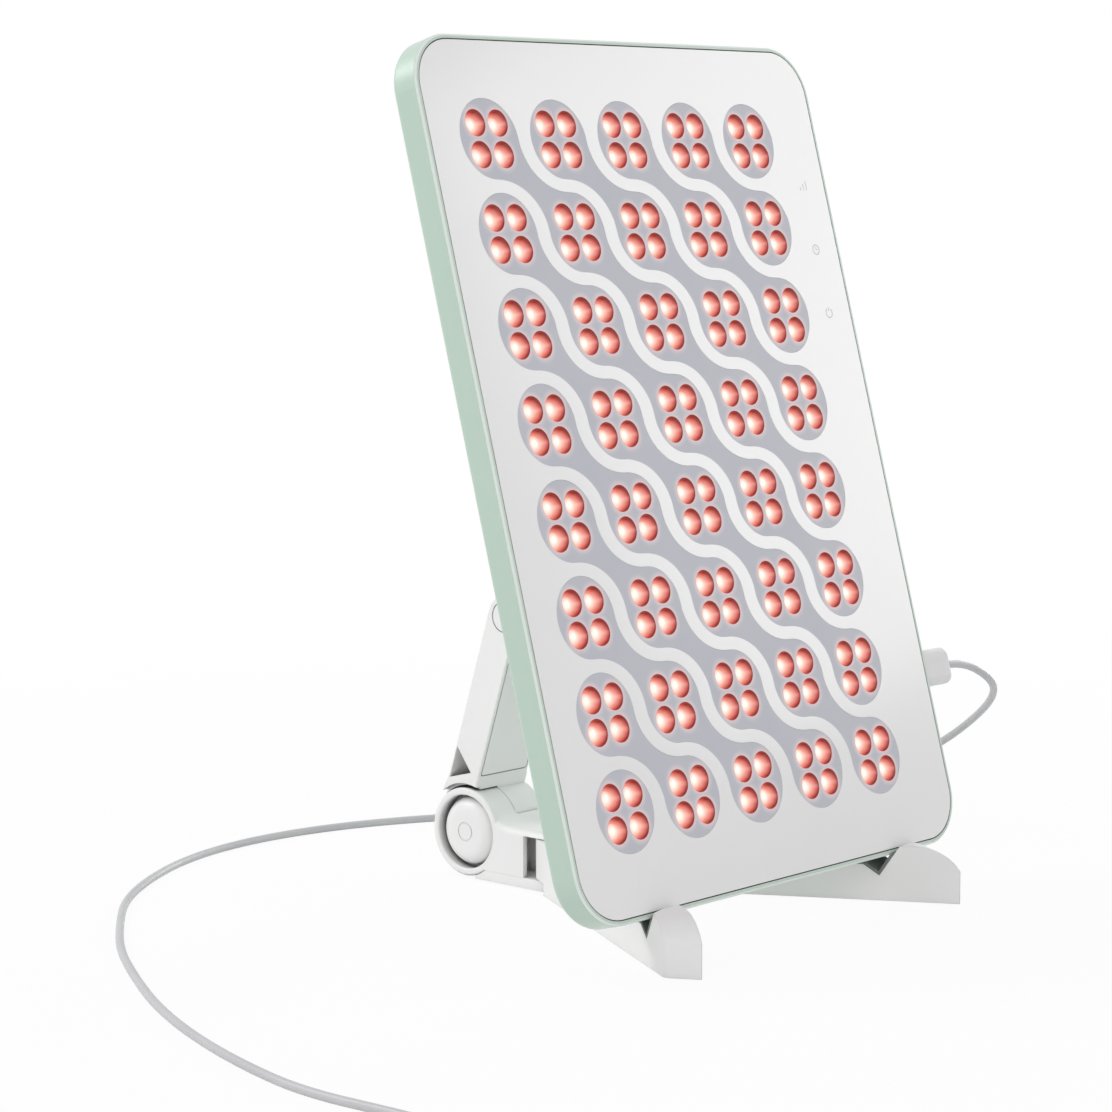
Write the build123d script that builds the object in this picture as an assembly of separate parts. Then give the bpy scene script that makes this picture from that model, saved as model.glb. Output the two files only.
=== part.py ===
from build123d import *
import os
from math import acos, atan2, cos, degrees, hypot, pi, radians, sin, tan

# Light therapy lamp: a thin lit panel that rests in the notches of two splayed legs and leans on a
# folding two-link arm. Millimetres, +Z up, the panel faces -Y, x = 0 is the middle of the panel.
# The origin is under the middle of the lamp, on the surface that it stands on.

# ---- clearances ----
touch_gap = 0.3          # between pieces of different bodies that must never bind
pin_clear = 0.05         # radial running fit of a turning pin
seat_clear = 0.02        # radial fit of a pin that stays put in its hole
seam = 0.15              # visible joint line round an inset cover
cut_over = 1.0           # cutting shapes overrun the surface by this much

# ---- panel ----
panel_width = 243.0
panel_height = 350.0
panel_depth = 13.4
panel_corner = 21.8
panel_lean = 15.2        # degrees back from upright, at rest
panel_foot = 68.35       # tilt axis in front of the origin
back_round = 2.5         # rounding of the shell's back edges
rim_chamfer = 0.9        # bevel round the shell's front rim
rim_width = 1.9          # front rim that shows round the front plate
shell_floor = 1.8
ledge_width = 2.2        # step inside the shell that carries the light stack
front_thickness = 1.4
reflector_thickness = 5.0
board_thickness = 1.6
boss_radius = 4.0
boss_column_count = 2
boss_row_count = 3
boss_pitch_x = 150.0
boss_pitch_y = 130.0

# ---- light field: clusters of four cups, linked by slanting channels ----
columns = 5
rows = 8
cluster_pitch_x = 40.0
cluster_pitch_y = 38.0
field_offset_x = -6.6    # the light field sits left of the middle, the touch keys fill the right margin
pad_radius = 16.3
cup_pitch = 12.7
cup_rim_radius = 5.75
cup_foot_radius = 2.3
chip_size = 2.8
chip_height = 0.7

# ---- electronics behind the light field ----
key_strip_margin = 17.1  # from the panel's side to the strip's middle
key_strip_width = 12.0
key_strip_length = 96.0
key_strip_thickness = 0.4
key_strip_middle_y = 76.0
driver_width = 64.0
driver_length = 44.0
driver_thickness = 1.2
driver_x = 12.0
driver_y = -128.0
driver_part_width = 9.0
driver_part_length = 14.0
driver_part_height = 1.5
driver_part_pitch = 14.0
driver_part_stagger = 8.0
driver_part_count = 4

# ---- power inlet and plug, low on the panel's right side ----
inlet_y = -101.4
inlet_height = 14.0
inlet_depth = 7.6
inlet_length = 13.0
tongue_height = 8.0
tongue_depth = 3.0
tongue_length = 7.0
tongue_clear = 0.1
socket_round = 1.0
plug_height = 16.0
plug_depth = 9.6
plug_length = 20.3
plug_round = 4.0
plug_end_round = 2.0
plug_collar_radius = 2.4
plug_collar_length = 2.0

# ---- base: hinge barrel and hub block ----
stand_width = 31.4
hinge_y = 85.6
hinge_z = 20.5
barrel_radius = 19.3
barrel_round = 1.2
knuckle_split_x = -1.85  # the base's half of the barrel is left of this, the arm's half right of it
saddle_gap = 2.0         # between the barrel and the arm that curves over it
saddle_lip = 3.0         # the gap is this deep from the side before it narrows
saddle_inner_gap = 0.8
cap_radius = 15.0
cap_groove = 1.2         # open ring round the cap
cap_recess = 6.6
cap_thickness = 6.5
cap_round = 6.2
cap_mark_radius = 4.2
cap_mark_width = 0.5
cap_mark_depth = 0.25
cap_well_bevel = 0.5
shaft_radius = 4.0
shaft_blind = 1.8        # wall left at the closed end of the shaft's hole in the base
nut_radius = 7.0
nut_thickness = 4.0
washer_thickness = 0.8
washer_radius = 7.6
nut_room = 0.6           # between the nut and the cap over it
nut_well_clear = 1.2     # round the nut and washers
washer_count = 3
hub_nose = 3.5           # the hub block ends this far in front of the leg pivots
hub_top_z = 26.0
hub_round = 3.5
hub_blend = 12.0         # hollow curve between the block's top and the barrel
hub_bottom_z = 0.8
base_plate_thickness = 4.4
base_plate_corner = 2.0
base_plate_short = 6.0   # it ends this far in front of the hinge
leg_bay_clear = 3.7      # room behind the leg roots in the bay that they turn in
leg_bay_top_z = 23.3
hub_wall = 2.4           # side walls of the well behind the leg bay
hub_well = 9.3           # depth of that well
web_half_width = 1.9
web_start = 4.0          # the web between the legs begins this far behind their pivots
hub_pad_margin = 3.0
hub_pad_inset = 0.8
hub_pad_corner = 2.0
hub_screw_radius = 1.5
hub_screw_head_radius = 2.6
hub_screw_length = 9.0
hub_screw_head = 1.6
hub_screw_room = 0.5     # left free under each screw's point
hub_screw_head_clear = 0.1
hub_screw_place = 24.3   # behind the leg pivots
hub_screw_x = 11.0

# ---- legs ----
leg_pivot_x = 9.2
leg_pivot_y = 41.2
leg_splay = 29.4         # degrees each leg points outward at rest, and folds back in
leg_width = 12.6
leg_length = 164.1       # pivot to the tip, along the inner side
leg_tip_skew = 30.0      # degrees the end face is turned from square
leg_corner = 4.0
leg_bottom_z = 0.4
leg_root_bottom_z = 5.5
leg_root_top_z = 23.0
leg_root_length = 12.0
leg_ramp_end = 38.0
leg_step = 9.0           # the leg drops to the floor this far in front of its pivot
leg_deck_z = 15.6        # top of the leg behind the notch
lip_peak_z = 23.9
lip_radius = 18.0
lip_start = 108.0        # the taller front of the leg begins this far from the pivot
lip_depth = 16.0         # the hump's crest lies this far behind the end face
leg_pin_radius = 2.5
leg_pin_cover = 1.4      # roof left over each leg pin
notch_floor_z = 11.0
notch_pad_thickness = 1.2
notch_rear_run = 5.9
notch_open_run = 30.0    # the deck is cleared this far behind the notch
notch_flap = 6.0         # the strip folds this far onto the deck behind the notch
notch_pad_drop = 4.5     # the strip ends this far below the lip's crest
foot_pad_length = 14.0
foot_pad_width = 7.0
foot_pad_thickness = 1.4
foot_pad_place = 146.0

# ---- lower arm ----
elbow_forward = 23.6     # elbow pin from the base hinge
elbow_rise = 96.1
arm_lean = 18.1          # degrees, the bar leans forward
arm_rear = 9.2           # from the line of the pins to the bar's back
arm_front = 7.6          # and to its front
arm_foot_clear = 5.0     # the bar's drawing stops this far above the base hinge
arm_toe_start = 80.0     # below here the bar's back spreads over the barrel
arm_toe = 2.2
arm_edge = 0.5
elbow_radius = 9.2
elbow_ear = 6.7
elbow_bay_radius = 15.0
elbow_pin_radius = 2.5
elbow_cap_radius = 6.6
elbow_cap_thickness = 1.2
elbow_cap_bevel = 0.4
arm_wall = 2.4
arm_front_wall = 3.4
arm_back_wall = 1.0      # behind the side windows
arm_channel_top = 19.0   # distances below the elbow, along the bar
arm_channel_bottom = 56.0
arm_rib_places = (30.0, 43.0)
arm_rib = 1.6
arm_rib_drop = 1.0       # ribs stop this far short of the bar's back
arm_well_top = 59.0
neck_height = 3.0        # web between the bar and its half of the barrel, above the saddle
neck_heel = 70.0         # the heel of the neck starts this far below the elbow
arm_cover_top = 18.0
arm_cover_bottom = 71.8
arm_cover_width = 28.2
arm_cover_gap = 0.4
arm_cover_thickness = 1.2
arm_cover_corner = 1.0
arm_window = ((64.7, 0.0), (72.5, 11.0), (79.4, 0.0))   # corners, as (below elbow, ahead of the back wall)

# ---- upper arm and its bracket on the panel's back ----
head_rise = 120.0        # bracket pin above the tilt axis, along the panel
head_standoff = 7.5      # bracket pin behind the shell's back face
upper_elbow_radius = 8.0
upper_head_radius = 4.4
upper_groove_depth = 2.0
upper_groove_width = 9.0
upper_groove_margin = 14.0   # from either pin to the groove's end
upper_groove_flat = 0.2      # flat left between the groove's end rounds
head_pin_radius = 2.0
head_pin_clear = 0.75    # the bracket's holes are loose round their pin
head_pin_end = 0.5       # and the pin stands this far out of each ear
bracket_plate_thickness = 2.0
bracket_width = 40.0
bracket_height = 36.0
bracket_ear = 4.0
bracket_ear_radius = 5.2
bracket_corner = 4.0
bracket_web_half = 9.0   # half width of each ear at its root
bracket_screw_inset = 4.5
bracket_screw_radius = 1.5
bracket_screw_head_radius = 2.8
bracket_screw_head = 1.4
bracket_screw_length = 1.6

# ---- cord, coil and wall adaptor ----
cord_radius = 1.7
coil_mean_radius = 18.5
coil_layers = 3          # turns across and turns high
coil_lead = 14.0
tail_z = 4.0
tail_reach = 16.0
relief_length = 14.0
relief_tip_radius = 2.4
relief_root_radius = 3.6
adaptor_width = 30.0
adaptor_length = 40.0
adaptor_height = 25.0
adaptor_round = 4.0
blade_pitch = 12.7
blade_width = 6.3
blade_thickness = 1.5
blade_length = 16.0

# ---- worked out from the sizes above ----
inner_width = panel_width - 2 * rim_width
inner_height = panel_height - 2 * rim_width
inner_corner = panel_corner - rim_width
key_strip_x = panel_width / 2 - key_strip_margin
stack_back = front_thickness + reflector_thickness + board_thickness
lean_sin = sin(radians(panel_lean))
lean_cos = cos(radians(panel_lean))
cap_seat = stand_width / 2 - cap_recess
hinge = (hinge_y, hinge_z)
elbow = (hinge_y - elbow_forward, hinge_z + elbow_rise)
arm_length = hypot(elbow_forward, elbow_rise)
hub_front_y = leg_pivot_y - hub_nose
leg_bay_rear_y = leg_pivot_y + leg_width / 2 + leg_bay_clear
web_front_y = leg_pivot_y + web_start
hub_screw_y = leg_pivot_y + hub_screw_place


def panel_point(y, z):
    """World (y, z) of a point given up the panel and out of its front."""
    return (panel_origin[0] + y * lean_sin - z * lean_cos,
            panel_origin[1] + y * lean_cos + z * lean_sin)


def slope_point(height):
    """Where the notch's front slope passes a given height, in world y."""
    return contact[0] - (height - contact[1]) * lean_run


# The panel turns about the middle of its rounded lower back edge, which stays level as it tilts.
edge_gap = touch_gap + 0.05
tilt_axis = (-panel_foot, leg_deck_z + notch_pad_thickness + edge_gap + back_round)
axis_up = -panel_height / 2 + back_round
axis_out = -panel_depth + back_round
panel_origin = (tilt_axis[0] - axis_up * lean_sin + axis_out * lean_cos,
                tilt_axis[1] - axis_up * lean_cos - axis_out * lean_sin)
panel_plane = Plane(origin=(0, *panel_origin), x_dir=(1, 0, 0), z_dir=(0, -lean_cos, lean_sin))
head = panel_point(axis_up + head_rise, -panel_depth - head_standoff)

# The notch's front slope lies along the bevel of the panel's lower front edge.
slope_angle = radians(45 + panel_lean)
lean_run = cos(slope_angle) / sin(slope_angle)
bevel_middle = panel_point(-panel_height / 2 + rim_chamfer / 2, -rim_chamfer / 2)
slope_offset = touch_gap + notch_pad_thickness
contact = (bevel_middle[0] - slope_offset * sin(slope_angle),
           bevel_middle[1] - slope_offset * cos(slope_angle))
notch_y = slope_point(notch_floor_z)


def across(face, x0, x1):
    """Push a face drawn in (y, z) from x0 to x1."""
    return Pos(x0, 0, 0) * extrude(Plane.YZ * face, amount=x1 - x0)


def disc(centre, radius):
    """A round face at a (y, z) place."""
    return Pos(centre[0], centre[1]) * Circle(radius)


def outline(*points):
    """A face with straight sides through the given points."""
    return make_face(Polyline(*points, close=True))


def rod(radius, x0, x1, centre):
    """A round bar along x."""
    return across(disc(centre, radius), x0, x1)


def plate(width, height, corner, front, back):
    """A round-cornered sheet in the panel's frame, from depth front to depth back."""
    return Pos(0, 0, -back) * extrude(RectangleRounded(width, height, corner), amount=back - front)


def inner_sheet(front, back):
    """A sheet that fills the shell's mouth with a fine joint round it."""
    return plate(inner_width - 2 * seam, inner_height - 2 * seam, inner_corner - seam, front, back)


def block(width, height, depth, x, y, z):
    """A box in the panel's frame by its middle."""
    return Pos(x, y, z) * Box(width, height, depth)


def strap(centre0, radius0, centre1, radius1):
    """A face that wraps two discs, with straight sides tangent to both."""
    dy = centre1[0] - centre0[0]
    dz = centre1[1] - centre0[1]
    turn = acos((radius0 - radius1) / hypot(dy, dz))
    heading = atan2(dz, dy)
    corners = []
    for centre, radius, sign in ((centre0, radius0, 1), (centre1, radius1, 1),
                                 (centre1, radius1, -1), (centre0, radius0, -1)):
        angle = heading + sign * turn
        corners.append((centre[0] + radius * cos(angle), centre[1] + radius * sin(angle)))
    return outline(*corners) + disc(centre0, radius0) + disc(centre1, radius1)


# ---------------------------------------------------------------- panel
def cluster_centres():
    """Middle of each cluster of four cups, with its column and row."""
    for column in range(columns):
        for row in range(rows):
            x = field_offset_x + (column - (columns - 1) / 2) * cluster_pitch_x
            y = ((rows - 1) / 2 - row) * cluster_pitch_y
            yield column, row, x, y


def cup_centres():
    """Middle of each cup."""
    for _, _, x, y in cluster_centres():
        for sx in (-1, 1):
            for sy in (-1, 1):
                yield x + sx * cup_pitch / 2, y + sy * cup_pitch / 2


def cell_channel():
    """One slanting channel between a cluster and its lower right neighbour."""
    cell = Rectangle(cluster_pitch_x, cluster_pitch_y)
    side = Ellipse(cluster_pitch_x - pad_radius, cluster_pitch_y - pad_radius)
    for sign in (-1, 1):
        cell -= Pos(sign * cluster_pitch_x / 2, sign * cluster_pitch_y / 2) * side
    return cell


def window_shapes():
    """Openings of the front plate: round pads joined by channels."""
    pads = []
    links = []
    for column, row, x, y in cluster_centres():
        pads.append(Pos(x, y) * Circle(pad_radius))
        if column < columns - 1 and row < rows - 1:
            links.append(Pos(x + cluster_pitch_x / 2, y - cluster_pitch_y / 2) * cell_channel())
    return Sketch() + pads + links


def make_back_shell():
    """Open tray with a ledge for the light stack and a window for the inlet."""
    tray = plate(panel_width, panel_height, panel_corner, 0, panel_depth)
    tray = fillet(tray.faces().sort_by(Axis.Z)[0].edges(), back_round)
    tray = chamfer(tray.faces().sort_by(Axis.Z)[-1].edges(), rim_chamfer)
    tray -= plate(inner_width, inner_height, inner_corner, 0, stack_back)
    tray -= plate(inner_width - 2 * ledge_width, inner_height - 2 * ledge_width, inner_corner - ledge_width,
                  0, panel_depth - shell_floor)
    for i in range(boss_column_count):
        for j in range(boss_row_count):
            x = (i - (boss_column_count - 1) / 2) * boss_pitch_x
            y = (j - (boss_row_count - 1) / 2) * boss_pitch_y
            height = panel_depth - shell_floor - stack_back
            tray += Pos(x, y, -panel_depth + shell_floor) * extrude(Circle(boss_radius), amount=height)
    tray -= inlet_block(seat_clear)
    for x, y in bracket_screw_places():
        tray -= Pos(x, y, -panel_depth) * extrude(Circle(bracket_screw_radius), amount=bracket_screw_length)
    return tray


def make_front_plate():
    """White front with the pad and channel openings."""
    cover = inner_sheet(0, front_thickness)
    return cover - Pos(0, 0, -front_thickness) * extrude(window_shapes(), amount=front_thickness)


def make_reflector_plate():
    """Moulded plate with one conical cup for each light."""
    back = front_thickness + reflector_thickness
    moulding = inner_sheet(front_thickness, back)
    cup = Cone(cup_foot_radius, cup_rim_radius, reflector_thickness)
    cup = Pos(0, 0, -back + reflector_thickness / 2) * cup
    moulding -= [Pos(x, y, 0) * cup for x, y in cup_centres()]
    moulding -= key_strip(0)
    return moulding - inlet_block(touch_gap)


def make_led_board():
    """Circuit board that closes the cups from behind."""
    front = front_thickness + reflector_thickness
    return inner_sheet(front, stack_back) - inlet_block(touch_gap)


def make_led_chips():
    """One light source at the foot of each cup."""
    z = -(front_thickness + reflector_thickness) + chip_height / 2
    return Compound(children=[block(chip_size, chip_size, chip_height, x, y, z) for x, y in cup_centres()])


def key_strip(extra):
    """Touch film just behind the front plate, along the right margin."""
    z = -front_thickness - key_strip_thickness / 2
    return block(key_strip_width + extra, key_strip_length + extra, key_strip_thickness,
                 key_strip_x, key_strip_middle_y, z)


def make_driver_board():
    """Power and timer board on the shell's floor."""
    floor = -panel_depth + shell_floor
    board = block(driver_width, driver_length, driver_thickness,
                  driver_x, driver_y, floor + driver_thickness / 2)
    for i in range(driver_part_count):
        x = driver_x + (i - (driver_part_count - 1) / 2) * driver_part_pitch
        y = driver_y + (i % 2 - 0.5) * driver_part_stagger
        z = floor + driver_thickness + driver_part_height / 2
        board += block(driver_part_width, driver_part_length, driver_part_height, x, y, z)
    return board


def inlet_middle():
    """Depth of the inlet's axis."""
    return -panel_depth / 2


def inlet_block(extra):
    """Outside of the inlet, grown by a clearance."""
    x = panel_width / 2 - inlet_length / 2
    return block(inlet_length, inlet_height + 2 * extra, inlet_depth + 2 * extra,
                 x, inlet_y, inlet_middle())


def make_dc_socket():
    """Power inlet with the slot that the plug's tongue enters."""
    body = fillet(inlet_block(0).edges().filter_by(Axis.X), socket_round)
    x = panel_width / 2 - tongue_length / 2 - tongue_clear / 2
    slot = block(tongue_length + tongue_clear, tongue_height + 2 * tongue_clear,
                 tongue_depth + 2 * tongue_clear, x, inlet_y, inlet_middle())
    return body - slot


def make_power_plug():
    """Rounded plug on the cord's end, pushed home in the inlet."""
    x = panel_width / 2 + plug_length / 2
    body = block(plug_length, plug_height, plug_depth, x, inlet_y, inlet_middle())
    body = fillet(body.edges().filter_by(Axis.X), plug_round)
    body = fillet(body.faces().sort_by(Axis.X)[-1].edges(), plug_end_round)
    tongue = block(tongue_length, tongue_height, tongue_depth, (panel_width - tongue_length) / 2,
                   inlet_y, inlet_middle())
    x_end = panel_width / 2 + plug_length
    collar = Pos(x_end + plug_collar_length / 2, inlet_y, inlet_middle()) * Rot(0, 90, 0) * Cylinder(
        plug_collar_radius, plug_collar_length)
    return body + tongue + collar


def bracket_screw_places():
    """Four screws of the head bracket, in the panel's frame."""
    y_middle = axis_up + head_rise
    for sx in (-1, 1):
        for sy in (-1, 1):
            yield (sx * (bracket_width / 2 - bracket_screw_inset),
                   y_middle + sy * (bracket_height / 2 - bracket_screw_inset))


def make_head_bracket():
    """Foot plate on the shell's back with two ears for the arm's upper pin."""
    y_middle = axis_up + head_rise
    foot = RectangleRounded(bracket_width, bracket_height, bracket_corner)
    foot = extrude(foot, amount=bracket_plate_thickness)
    foot_back = -panel_depth - bracket_plate_thickness
    foot = Pos(0, y_middle, foot_back) * foot
    pin = (y_middle, -panel_depth - head_standoff)
    ear_inner = arm_tongue_half() + touch_gap
    web = outline((y_middle - bracket_ear_radius, pin[1]), (y_middle + bracket_ear_radius, pin[1]),
                  (y_middle + bracket_web_half, foot_back), (y_middle - bracket_web_half, foot_back))
    ear_face = web + disc(pin, bracket_ear_radius) - disc(pin, head_pin_radius + head_pin_clear)
    for side in (-ear_inner - bracket_ear, ear_inner):
        foot += across(ear_face, side, side + bracket_ear)
    for x, y in bracket_screw_places():
        foot -= Pos(x, y, foot_back) * extrude(Circle(bracket_screw_radius), amount=bracket_plate_thickness)
    return foot


def make_bracket_screws():
    """Screws that hold the head bracket to the shell."""
    screws = []
    for x, y in bracket_screw_places():
        seat = -panel_depth - bracket_plate_thickness
        shank = Pos(x, y, seat) * extrude(Circle(bracket_screw_radius - seat_clear),
                                          amount=bracket_plate_thickness + bracket_screw_length)
        cap = Pos(x, y, seat - bracket_screw_head) * extrude(Circle(bracket_screw_head_radius),
                                                             amount=bracket_screw_head)
        screws.append(shank + cap)
    return Compound(children=screws)


# ---------------------------------------------------------------- base
def leg_bay():
    """Space between the hub's roof and the base plate where the leg roots turn."""
    bay = Pos(0, (leg_bay_rear_y + hub_front_y) / 2, (plate_top() + leg_bay_top_z) / 2) * Box(
        stand_width, leg_bay_rear_y - hub_front_y, leg_bay_top_z - plate_top())
    well = Pos(0, leg_bay_rear_y + hub_well / 2, (plate_top() + leg_bay_top_z) / 2) * Box(
        stand_width - 2 * hub_wall, hub_well, leg_bay_top_z - plate_top())
    web_rear_y = leg_bay_rear_y + hub_well
    web = Pos(0, (web_rear_y + web_front_y) / 2, (plate_top() + leg_bay_top_z) / 2) * Box(
        2 * web_half_width, web_rear_y - web_front_y, leg_bay_top_z - plate_top())
    return bay + well - web


def plate_top():
    """Height of the base plate's upper face."""
    return hub_bottom_z + base_plate_thickness


def hub_blend_centre():
    """Middle of the hollow curve that sweeps the block's top up to the barrel, in (y, z)."""
    rise = hub_top_z + hub_blend - hinge_z
    back = ((barrel_radius + hub_blend) ** 2 - rise ** 2) ** 0.5
    return hinge_y - back, hinge_z + rise


def hub_blend_end():
    """Where the hollow curve meets the barrel."""
    centre = hub_blend_centre()
    share = barrel_radius / (barrel_radius + hub_blend)
    return hinge_y + share * (centre[0] - hinge_y), hinge_z + share * (centre[1] - hinge_z)


def hub_block_face():
    """Side view of the block, its top curving up into the barrel."""
    centre = hub_blend_centre()
    end = hub_blend_end()
    floor = plate_top()
    block_side = outline((hub_front_y, floor), (hinge_y, floor), hinge, end, (centre[0], end[1]),
                         (centre[0], hub_top_z), (hub_front_y, hub_top_z))
    return block_side - disc(centre, hub_blend)


def make_hub_body():
    """Left half of the hinge barrel and the block that holds the leg roots."""
    half = stand_width / 2
    barrel = rod(barrel_radius, -half, knuckle_split_x - touch_gap / 2, hinge)
    barrel = fillet(barrel.faces().sort_by(Axis.X)[0].edges(), barrel_round)
    body = across(hub_block_face(), -half, half)
    side_edges = body.edges().filter_by(lambda edge: abs(abs(edge.center().X) - half) < seam)
    upper = side_edges.filter_by(lambda edge: edge.center().Z > hub_top_z - seam)
    body = fillet(upper.filter_by(lambda edge: edge.center().Y < hub_blend_end()[0]), hub_round)
    body -= rod(barrel_radius + 2 * touch_gap, knuckle_split_x - touch_gap / 2, half + cut_over, hinge)
    body = body + barrel
    body -= leg_bay()
    body -= cap_well(-1)
    body -= rod(shaft_radius + seat_clear, -cap_seat + shaft_blind, half, hinge)
    screw_hole = extrude(Circle(hub_screw_radius), amount=hub_screw_length - base_plate_thickness)
    for sign in (-1, 1):
        body -= leg_pin_shape(sign, leg_pin_radius + seat_clear)
        body -= Pos(sign * hub_screw_x, hub_screw_y, plate_top()) * screw_hole
    return body


def cap_well(side):
    """Bevelled round recess for the cap in one end of the barrel."""
    half = stand_width / 2
    radius = cap_radius + cap_groove
    well = rod(radius, cap_seat, half, hinge)
    rim = Cone(radius, radius + cap_well_bevel, cap_well_bevel)
    well += Pos(half - cap_well_bevel / 2, hinge_y, hinge_z) * Rot(0, 90, 0) * rim
    return well if side > 0 else other_side(well)


def make_hub_base_plate():
    """Bottom cover of the hub, which also holds the lower ends of the leg pins."""
    rear = hinge_y - base_plate_short
    cover = Pos(0, (rear + hub_front_y) / 2, hub_bottom_z + base_plate_thickness / 2) * Box(
        stand_width, rear - hub_front_y, base_plate_thickness)
    cover = fillet(cover.edges().filter_by(Axis.Z).group_by(Axis.Y)[0], base_plate_corner)
    cover -= rod(barrel_radius + 2 * touch_gap, knuckle_split_x - touch_gap / 2, stand_width, hinge)
    cover -= rod(barrel_radius + seat_clear, -stand_width, knuckle_split_x - touch_gap / 2, hinge)
    cover -= hub_pad_blank()
    for sign in (-1, 1):
        cover -= leg_pin_shape(sign, leg_pin_radius + seat_clear)
        place = Pos(sign * hub_screw_x, hub_screw_y, hub_bottom_z)
        head_hole = Circle(hub_screw_head_radius + hub_screw_head_clear)
        cover -= place * extrude(Circle(hub_screw_radius), amount=base_plate_thickness)
        cover -= place * extrude(head_hole, amount=hub_screw_head)
    return cover


def hub_pad_blank():
    """Rubber sheet let into the base plate, down to the floor."""
    front = hub_front_y + hub_pad_margin
    rear = hub_screw_y - hub_screw_head_radius - hub_pad_margin
    height = hub_bottom_z + hub_pad_inset
    width = stand_width - 2 * hub_pad_margin
    pad = Pos(0, (front + rear) / 2, height / 2) * Box(width, rear - front, height)
    return fillet(pad.edges().filter_by(Axis.Z), hub_pad_corner)


def make_hub_screws():
    """Screws that hold the base plate."""
    screws = []
    for sign in (-1, 1):
        shank = extrude(Circle(hub_screw_radius - seat_clear), amount=hub_screw_length - hub_screw_room)
        cap = extrude(Circle(hub_screw_head_radius), amount=hub_screw_head)
        screws.append(Pos(sign * hub_screw_x, hub_screw_y, hub_bottom_z) * (shank + cap))
    return Compound(children=screws)


def leg_pin_shape(sign, radius):
    """Upright pin of one leg, between base plate and hub roof."""
    foot = hub_bottom_z + hub_pad_inset
    pin = extrude(Circle(radius), amount=hub_top_z - leg_pin_cover - foot)
    return Pos(sign * leg_pivot_x, leg_pivot_y, foot) * pin


def make_cap(side):
    """Rounded hinge cap with one fine ring, set into the barrel's end."""
    face = cap_seat + cap_thickness
    cap = rod(cap_radius, cap_seat, face, hinge)
    cap = fillet(cap.faces().sort_by(Axis.X)[-1].edges(), cap_round)
    groove = disc(hinge, cap_mark_radius) - disc(hinge, cap_mark_radius - cap_mark_width)
    cap -= across(groove, face - cap_mark_depth, face)
    return cap if side > 0 else other_side(cap)


def make_hinge_shaft():
    """Steel shaft fixed in the base and turning in the arm."""
    return rod(shaft_radius, -cap_seat + shaft_blind, nut_seat() + washers_height() + nut_thickness, hinge)


def nut_seat():
    """Where the washers bear on the arm's half of the barrel."""
    return cap_seat - nut_thickness - washers_height() - nut_room


def washers_height():
    """Height of the friction washer stack."""
    return washer_count * washer_thickness


def make_friction_washers():
    """Stack of spring washers that sets the hinge's friction."""
    ring = disc(hinge, washer_radius) - disc(hinge, shaft_radius + seat_clear)
    washers = []
    for i in range(washer_count):
        start = nut_seat() + i * washer_thickness
        washers.append(across(ring, start, start + washer_thickness))
    return Compound(children=washers)


def make_hinge_nut():
    """Hexagon lock nut on the shaft's end."""
    face = Pos(hinge_y, hinge_z) * RegularPolygon(nut_radius, 6) - disc(hinge, shaft_radius + seat_clear)
    start = nut_seat() + washers_height()
    return across(face, start, start + nut_thickness)


# ---------------------------------------------------------------- legs
def leg_plan():
    """Plan of a leg along +Y from its pivot, inner side at +X."""
    half = leg_width / 2
    inner = leg_length
    outer = leg_length - leg_width * tan(radians(leg_tip_skew))
    body = outline((-half, 0), (-half, outer), (half, inner), (half, 0))
    body = fillet(body.vertices().sort_by(Axis.Y)[-2], leg_corner)
    return body + Circle(half)


def leg_place():
    """Location of the left leg at rest: its own +Y points outward and to the front."""
    return Pos(-leg_pivot_x, leg_pivot_y, 0) * Rot(0, 0, 180 - leg_splay)


def place_leg(shape):
    """Turn a shape drawn along +Y with its inner side at -X to the left leg's place."""
    return leg_place() * shape


def notch_cut():
    """Groove along x that takes the panel's lower edge, open upward and level behind."""
    top = lip_peak_z + cut_over
    rear = notch_y + notch_rear_run
    return outline((slope_point(top), top), (notch_y, notch_floor_z), (rear, leg_deck_z),
                   (rear + notch_open_run, leg_deck_z), (rear + notch_open_run, top))


def make_left_leg():
    """Splayed foot with a raised lip and the notch that holds the panel."""
    plan = mirror(leg_plan(), about=Plane.YZ)
    bar = extrude(plan, amount=lip_peak_z)
    rear = -leg_width / 2 - cut_over
    tip = leg_length + cut_over
    side = outline((rear, leg_root_bottom_z), (rear, leg_root_top_z), (leg_root_length, leg_root_top_z),
                   (leg_ramp_end, leg_deck_z), (lip_start, leg_deck_z), (lip_start, lip_peak_z),
                   (tip, lip_peak_z), (tip, leg_bottom_z), (leg_step, leg_bottom_z),
                   (leg_step, leg_root_bottom_z))
    leg = bar & across(side, -leg_width, leg_width)
    crest = Rot(0, 0, -leg_tip_skew) * Pos(0, -lip_depth, lip_peak_z - lip_radius)
    dome = crest * Rot(0, 90, 0) * Cylinder(lip_radius, 4 * leg_width)
    front = crest * Pos(0, lip_depth, lip_radius / 2 + cut_over) * Box(
        4 * leg_width, 2 * lip_depth, lip_radius + 2 * cut_over)
    tip_place = Pos(-leg_width / 2, leg_length, 0)
    leg -= tip_place * (front - dome)
    leg -= Cylinder(leg_pin_radius + pin_clear, 4 * leg_root_top_z)
    leg -= foot_pad_blank()
    leg = place_leg(leg)
    leg -= across(notch_cut(), -panel_width, 0)
    return leg


def foot_pad_blank():
    """Rubber foot let into the leg's underside, in the leg's own frame."""
    pad = SlotOverall(foot_pad_length, foot_pad_width, rotation=90)
    return Pos(0, foot_pad_place, 0) * extrude(pad, amount=foot_pad_thickness)


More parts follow.
